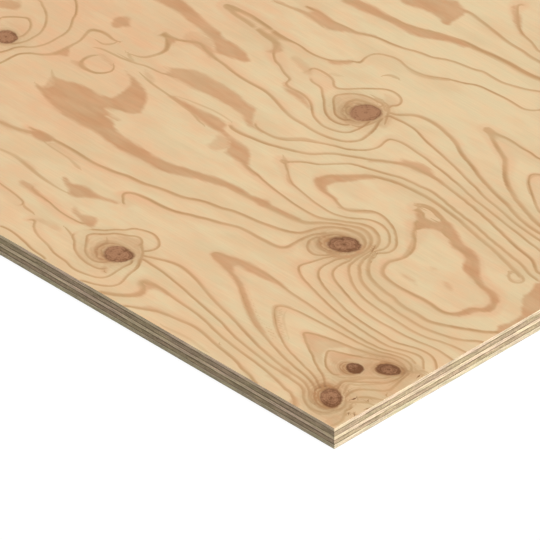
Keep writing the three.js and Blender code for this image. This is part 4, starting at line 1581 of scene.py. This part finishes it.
def edge_material(name, bottom, top, body, beneath=None):
    """A ply on the sawn edge, between the glue lines at its bottom and its top.

    A crossband is pitted, and below its lower glue line it shows the pale ply that is pressed up into it.
    """
    pitted = beneath is not None
    paint = colours()
    material, tree, shader = new_material(name)
    place, along, across, up = place_on_sheet(tree)

    # Streaks run with the edge, the saw's teeth leave slanting marks, and the end grain is pitted.
    streaks = grain(tree, place, (17, 17, 0.42), 3.0, 0.7)
    clouds = grain(tree, place, (15, 15, 1.6))
    marks = grain(tree, slanted(tree, along, across, up), (1.3, 1.3, 14), 1.0, 0.5)
    tone = fade(tree, streaks, 0.32, 0.68, *STREAK_TONES)
    tone = tone * fade(tree, clouds, 0.3, 0.7, 0.88, 1.07)
    tone = tone * fade(tree, marks, 0.35, 0.65, 0.84 if pitted else 0.93, 1.07)
    if pitted:
        tone = tone * fade(tree, grain(tree, place, (4.2, 4.2, 0.55), 2.0, 0.6), 0.28, 0.5, 0.72, 1.05)
    wood = stain(tree, 1.0, body, as_grey(tree, tone), "MULTIPLY")
    tints = fade(tree, grain(tree, place, (26, 26, 3.5)), 0.35, 0.65)
    wood = stain(tree, 1.0, wood, stain(tree, tints, WARM_TINT, COOL_TINT), "MULTIPLY")

    if pitted:
        wood = stain(tree, fade(tree, up, bottom - PRESSED_EDGE, bottom, 1.0, 0.0), wood, beneath)

    # The glue has soaked a little way into the ply on either side of it, and further into a crossband.
    soak = grain(tree, place, (14, 14, 2), 2.0, 0.6)
    reach, least = CROSSBAND_SOAK if pitted else THIN_PLY_SOAK
    lines = []
    if bottom == 0:
        # The sheet's lowest edge is darker in a thin band at its foot.
        lines.append(fade(tree, up, *DARK_FOOT, 0.45, 0.0))
    else:
        line = fade(tree, up, bottom + GLUE_HALF, bottom + reach, 1.0, 0.0)
        if pitted:
            line = line * fade(tree, up, bottom - GLUE_FOOT, bottom)
        lines.append(line)
    if top < CAD_BOX[1].z - HAIR:
        lines.append(fade(tree, up, top - reach, top - GLUE_HALF, 0.0, 1.0))
    for line in lines:
        wood = stain(tree, line * fade(tree, soak, 0.35, 0.6, least, 1.0), wood, tuple(paint.glue))
    plug(wood, shader.inputs["Base Color"])
    shader.inputs["Roughness"].default_value = 0.7
    shader.inputs["Specular IOR Level"].default_value = 0.2
    relief(tree, shader, streaks + marks * 0.6, 0.1 * MM)
    return material


# --- The plies' meshes ---


SAW_SWAY = 9.0          # how many slow swings the saw makes in a metre, and how many quick ones
SAW_CHATTER = 160.0
CHATTER_UP = 90.0       # and how often the quick ones change over the height of the edge


def ease_in(value, seed):
    """How far the saw left this place inside the true edge, from 0 to 1."""
    slow = noise.noise(Vector((value.x * SAW_SWAY, value.y * SAW_SWAY, seed)))
    quick = noise.noise(Vector((value.x * SAW_CHATTER, value.y * SAW_CHATTER, value.z * CHATTER_UP + seed)))
    return min(max(0.5 + 0.5 * slow + 0.35 * quick, 0.0), 1.0)


def saw_edges(mesh_data, low, high, insets):
    """Moves the places on the sheet's sides inwards: by their level's inset, and by the saw's wander."""
    wander = sizes().saw_wander
    for vert in mesh_data.verts:
        inset = insets(vert.co.z)
        for axis in (0, 1):
            if abs(vert.co[axis] - low[axis]) < HAIR:
                vert.co[axis] = low[axis] + inset + wander * ease_in(vert.co, 3.0 + axis)
            elif abs(vert.co[axis] - high[axis]) < HAIR:
                vert.co[axis] = high[axis] - inset - wander * ease_in(vert.co, 8.0 + axis)


def finish_ply(name, mesh_data, node):
    """Turns a ply's mesh into a piece that stands for its CAD node."""
    bmesh.ops.recalc_face_normals(mesh_data, faces=mesh_data.faces)
    mesh = bpy.data.meshes.new(name)
    mesh_data.to_mesh(mesh)
    mesh_data.free()
    piece = bpy.data.objects.new(name, mesh)
    bpy.context.scene.collection.objects.link(piece)
    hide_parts(node)
    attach(piece, "root")
    return piece


EDGE_CELL = 6 * MM      # the length of the pieces that an inner ply's sides are cut into


def cut_outline(mesh_data, low, high):
    """A flat rectangle whose four sides are cut into short lengths."""
    bmesh.ops.create_grid(mesh_data, x_segments=1, y_segments=1, size=0.5)
    reach = (high[0] - low[0], high[1] - low[1])
    for edge in list(mesh_data.edges):
        first, second = edge.verts
        runs_along = abs(first.co.x - second.co.x) > 0.5
        length = reach[0] if runs_along else reach[1]
        bmesh.ops.bisect_edges(mesh_data, edges=[edge], cuts=int(length / EDGE_CELL))
    for vert in mesh_data.verts:
        vert.co.x = low[0] + reach[0] * (vert.co.x + 0.5)
        vert.co.y = low[1] + reach[1] * (vert.co.y + 0.5)


def inner_ply(node):
    """A crossband, the centre or the back: only its sawn edges and, on the back, its underside are seen."""
    low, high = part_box(node)
    groove = sizes().glue_groove
    underneath = node == BACK
    foot = sizes().arris if underneath else groove
    height = high[2] - low[2]
    levels = (0.0, foot, 0.35 * height, 0.65 * height, height - groove, height)

    def inset(place_z):
        if place_z < low[2] + HAIR:
            return foot
        if place_z > high[2] - HAIR:
            return groove
        return 0.0

    ply = bmesh.new()
    cut_outline(ply, low, high)
    for vert in ply.verts:
        vert.co.z = low[2]
    top = list(ply.faces)
    for before, after in zip(levels, levels[1:]):
        raised = bmesh.ops.extrude_face_region(ply, geom=top)
        if before > 0.0:
            bmesh.ops.delete(ply, geom=top, context="FACES_ONLY")
        top = [part for part in raised["geom"] if isinstance(part, bmesh.types.BMFace)]
        verts = [part for part in raised["geom"] if isinstance(part, bmesh.types.BMVert)]
        bmesh.ops.translate(ply, verts=verts, vec=(0, 0, after - before))
    saw_edges(ply, low, high, inset)
    return finish_ply(node + "_ply", ply, node)


FINE_REACHES = (358.0, 228.0, 775.0)    # up to where the cells are fine, as for the read corner's reaches
FINEST_CORNER = 120.0   # along and across together, in millimetres, up to which the cells are halved
FINEST_ROUND = 26.0     # and how far from the middle of a large knot
CLOSE_KNOTS = (KNOTS[0], KNOTS[1], HIGH_KNOT)


def seen_corner(along, across):
    """Whether a place lies in the corner whose figure was read, with a little to spare."""
    past = (along - across, across - along, along + across)
    return all(part < reach for part, reach in zip(past, FINE_REACHES))


def finest_part(along, across):
    """Whether a place is at the very corner or round a large knot, where the figure is closest."""
    if along + across < FINEST_CORNER:
        return True
    return any(math.hypot(along - knot.along, across - knot.across) < FINEST_ROUND for knot in CLOSE_KNOTS)


def split_where(ply, near, wanted, cuts):
    """Splits each face whose middle is wanted, judged by how far along and across it is."""
    chosen = set()
    for face in ply.faces:
        middle = face.calc_center_median()
        if wanted((near[0] - middle.x) / MM, (middle.y - near[1]) / MM):
            chosen.update(face.edges)
    bmesh.ops.subdivide_edges(ply, edges=list(chosen), cuts=cuts, use_grid_fill=True, use_single_edge=True)


def lead_down(ply, low, high):
    """Lets the border in by the arris, and leads it down the sawn edge to the glue line."""
    arris = sizes().arris
    border = [edge for edge in ply.edges if edge.is_boundary]
    for vert in {vert for edge in border for vert in edge.verts}:
        for axis in (0, 1):
            vert.co[axis] = min(max(vert.co[axis], low[axis] + arris), high[axis] - arris)
    height = high[2] - low[2]
    levels = (height, height - arris, 0.5 * height, sizes().glue_groove, 0.0)
    for before, after in zip(levels, levels[1:]):
        led = bmesh.ops.extrude_edge_only(ply, edges=border)
        verts = [part for part in led["geom"] if isinstance(part, bmesh.types.BMVert)]
        border = [part for part in led["geom"] if isinstance(part, bmesh.types.BMEdge)]
        border = [edge for edge in border if all(vert in set(verts) for vert in edge.verts)]
        for vert in verts:
            vert.co.z = low[2] + after
            if before == height:
                for axis in (0, 1):
                    if abs(vert.co[axis] - low[axis] - arris) < HAIR:
                        vert.co[axis] = low[axis]
                    if abs(vert.co[axis] - high[axis] + arris) < HAIR:
                        vert.co[axis] = high[axis]
    bmesh.ops.contextual_create(ply, geom=border)


def face_ply():
    """The face veneer: a fine mesh on top that carries the figure, and sawn edges below it."""
    low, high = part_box(FACE)
    near = (high[0], low[1])
    reach = (high[0] - low[0], high[1] - low[1])
    cell = sizes().far_cell
    ply = bmesh.new()
    columns, rows = [int(round(side / cell)) for side in reach]
    bmesh.ops.create_grid(ply, x_segments=columns, y_segments=rows, size=0.5)
    for vert in ply.verts:
        vert.co.x = low[0] + reach[0] * (vert.co.x + 0.5)
        vert.co.y = low[1] + reach[1] * (vert.co.y + 0.5)
        vert.co.z = high[2]
    split_where(ply, near, seen_corner, max(int(round(cell / sizes().corner_cell)) - 1, 0))
    split_where(ply, near, finest_part, 1)
    lead_down(ply, low, high)

    def inset(place_z):
        return sizes().glue_groove if place_z < low[2] + HAIR else 0.0

    saw_edges(ply, low, high, inset)
    return finish_ply(FACE + "_ply", ply, FACE), near, reach


KNOT_DISH = 0.18 * MM   # how far a knot's rim has dried below the face
DISH_SIDE = 0.35        # and how far that reaches to either side of the rim, in knots


def draw_figure(piece, near, reach):
    """Writes the figure on the face's mesh, and lets the knots sink a little."""
    mesh = piece.data
    spots = np.empty(len(mesh.vertices) * 3)
    mesh.vertices.foreach_get("co", spots)
    spots = spots.reshape(-1, 3)
    along = (near[0] - spots[:, 0]) / MM
    across = (spots[:, 1] - near[1]) / MM
    readings = face_figure(along, across, reach[0] / MM, reach[1] / MM)
    for name, values in readings.items():
        layer = mesh.attributes.new(name=name, type="FLOAT", domain="POINT")
        layer.data.foreach_set("value", values.astype(np.float32))
    flat_top = spots[:, 2] > spots[:, 2].max() - HAIR
    sunk = KNOT_DISH * np.exp(-(((readings["knot"] - 1) / DISH_SIDE) ** 2))
    spots[:, 2] -= sunk * flat_top
    mesh.vertices.foreach_set("co", spots.ravel())
    mesh.update()


# --- The stage ---

KEY_FROM = Vector((0.68, 0.03, 0.70))
KEY_STRENGTH = 3.53
KEY_SOFTNESS = math.radians(24)
SKY_STRENGTH = 0.18
FLOOR_SIDE = 60.0
# The floor's own colour where it is seen straight, and the glow added there.
FLOOR_SEEN = (0.15, 0.15, 0.15)
FLOOR_GLOW = 0.88


def set_camera():
    """The camera, square to the line of sight, with its top edge level."""
    data = bpy.data.cameras.new("eye")
    data.lens = LENS
    data.sensor_width = SENSOR
    data.clip_start, data.clip_end = CLIP
    camera = bpy.data.objects.new("eye", data)
    bpy.context.scene.collection.objects.link(camera)
    camera.location = EYE
    camera.rotation_euler = (-VIEW_BACK).to_track_quat("-Z", "Y").to_euler()
    bpy.context.scene.camera = camera


def set_lights():
    """One broad soft light from above the far right, and an even pale sky."""
    data = bpy.data.lights.new("key", "SUN")
    data.energy = KEY_STRENGTH
    data.angle = KEY_SOFTNESS
    key = bpy.data.objects.new("key", data)
    key.rotation_euler = KEY_FROM.to_track_quat("Z", "Y").to_euler()
    bpy.context.scene.collection.objects.link(key)

    world = bpy.data.worlds.new("studio")
    world.use_nodes = True
    bpy.context.scene.world = world
    tree = world.node_tree
    tree.nodes.clear()
    output = tree.nodes.new("ShaderNodeOutputWorld")
    sky = tree.nodes.new("ShaderNodeBackground")
    sky.inputs["Color"].default_value = (1, 1, 1, 1)
    plug(fade(tree, straight_rays(tree), 0.0, 1.0, SKY_STRENGTH, 1.0), sky.inputs["Strength"])
    plug(sky.outputs[0], output.inputs["Surface"])


def straight_rays(tree):
    """1 where the backdrop is seen straight, in a mirror or through glass, and 0 for the light it gives."""
    rays = tree.nodes.new("ShaderNodeLightPath")
    ways = ("Is Camera Ray", "Is Glossy Ray", "Is Transmission Ray")
    seen, mirrored, through = [Tone(rays.outputs[way]) for way in ways]
    return seen.step("MAXIMUM", mirrored).step("MAXIMUM", through)


def floor_material():
    """A pale floor that looks white where it is lit, and still takes the sheet's shadow."""
    material = bpy.data.materials.new("floor")
    material.use_nodes = True
    tree = material.node_tree
    tree.nodes.clear()
    output = tree.nodes.new("ShaderNodeOutputMaterial")
    lit = tree.nodes.new("ShaderNodeBsdfDiffuse")
    glow = tree.nodes.new("ShaderNodeEmission")
    seen = straight_rays(tree)
    plug(stain(tree, seen, tuple(colours().floor), FLOOR_SEEN), lit.inputs["Color"])
    glow.inputs["Color"].default_value = (1, 1, 1, 1)
    plug(seen * FLOOR_GLOW, glow.inputs["Strength"])
    both = tree.nodes.new("ShaderNodeAddShader")
    plug(lit.outputs[0], both.inputs[0])
    plug(glow.outputs[0], both.inputs[1])
    plug(both.outputs[0], output.inputs["Surface"])
    return material


def lay_floor():
    """A plain floor under the sheet."""
    plane = bmesh.new()
    bmesh.ops.create_grid(plane, x_segments=1, y_segments=1, size=FLOOR_SIDE / 2)
    bmesh.ops.translate(plane, verts=plane.verts, vec=(0, 0, CAD_BOX[0][2]))
    mesh = bpy.data.meshes.new("floor")
    plane.to_mesh(mesh)
    plane.free()
    ground = bpy.data.objects.new("floor", mesh)
    bpy.context.scene.collection.objects.link(ground)
    mesh.materials.append(floor_material())


# --- Operators ---


class PLYWOOD_OT_stage(bpy.types.Operator):
    """Sets up the camera, the light and the floor"""

    bl_idname = "plywood.stage"
    bl_label = "Set the stage"

    def execute(self, context):
        context.scene.view_settings.view_transform = "Standard"
        set_camera()
        set_lights()
        lay_floor()
        return {"FINISHED"}


# How far the pale ply beneath each crossband is pressed up into it.
PRESSED = {LOWER: 0.8 * MM, UPPER: 0.3 * MM}


class PLYWOOD_OT_inner_plies(bpy.types.Operator):
    """Lays the back, the two crossbands and the centre"""

    bl_idname = "plywood.inner_plies"
    bl_label = "Lay the inner plies"

    def execute(self, context):
        paint = colours()
        for node in (BACK, LOWER, CENTRE, UPPER):
            low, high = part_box(node)
            piece = inner_ply(node)
            bottom = low[2] + PRESSED.get(node, 0.0)
            top = high[2] + {BACK: PRESSED[LOWER], CENTRE: PRESSED[UPPER]}.get(node, 0.0)
            sawn = {BACK: paint.back_edge, CENTRE: paint.long_grain}.get(node, paint.crossband)
            beneath = {LOWER: tuple(paint.back_edge), UPPER: tuple(paint.long_grain)}.get(node)
            piece.data.materials.append(edge_material(node + "_wood", bottom, top, tuple(sawn), beneath))
            if node == BACK:
                show_underside(piece)
        return {"FINISHED"}


def show_underside(piece):
    """Gives the sheet's underside a plain veneer of its own."""
    piece.data.materials.append(face_material("back_veneer_figure", figured=False))
    for polygon in piece.data.polygons:
        if polygon.normal.z < -0.9:
            polygon.material_index = 1


class PLYWOOD_OT_face(bpy.types.Operator):
    """Lays the face veneer and draws its figure"""

    bl_idname = "plywood.face"
    bl_label = "Lay the face veneer"

    def execute(self, context):
        low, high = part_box(FACE)
        sawn = tuple(colours().long_grain)
        piece, near, reach = face_ply()
        draw_figure(piece, near, reach)
        piece.data.materials.append(face_material("face_veneer_figure"))
        piece.data.materials.append(edge_material("face_veneer_wood", low[2], high[2], sawn))
        for polygon in piece.data.polygons:
            on_top = polygon.normal.z > 0.5
            polygon.material_index = 0 if on_top else 1
            polygon.use_smooth = polygon.normal.z > 0.9
        piece.data.set_sharp_from_angle(angle=math.radians(30))
        return {"FINISHED"}


class PLYWOOD_PT_sheet(bpy.types.Panel):
    """The sheet's sizes, colours and steps"""

    bl_idname = "PLYWOOD_PT_sheet"
    bl_label = "Plywood sheet"
    bl_space_type = "VIEW_3D"
    bl_region_type = "UI"
    bl_category = "Plywood"

    def draw(self, context):
        layout = self.layout
        for group in (context.scene.sheet_sizes, context.scene.sheet_colours):
            for name in group.bl_rna.properties.keys():
                if name not in ("rna_type", "name"):
                    layout.prop(group, name)
        for step in STEPS:
            layout.operator(step.bl_idname)


STEPS = (PLYWOOD_OT_stage, PLYWOOD_OT_inner_plies, PLYWOOD_OT_face)
CLASSES = (SheetSizes, SheetColours) + STEPS + (PLYWOOD_PT_sheet,)


def register():
    for each in CLASSES:
        bpy.utils.register_class(each)
    bpy.types.Scene.sheet_sizes = bpy.props.PointerProperty(type=SheetSizes)
    bpy.types.Scene.sheet_colours = bpy.props.PointerProperty(type=SheetColours)


def unregister():
    del bpy.types.Scene.sheet_colours
    del bpy.types.Scene.sheet_sizes
    for each in reversed(CLASSES):
        bpy.utils.unregister_class(each)


def main():
    register()
    bpy.ops.plywood.stage()
    bpy.ops.plywood.inner_plies()
    bpy.ops.plywood.face()


if __name__ == "__main__":
    main()
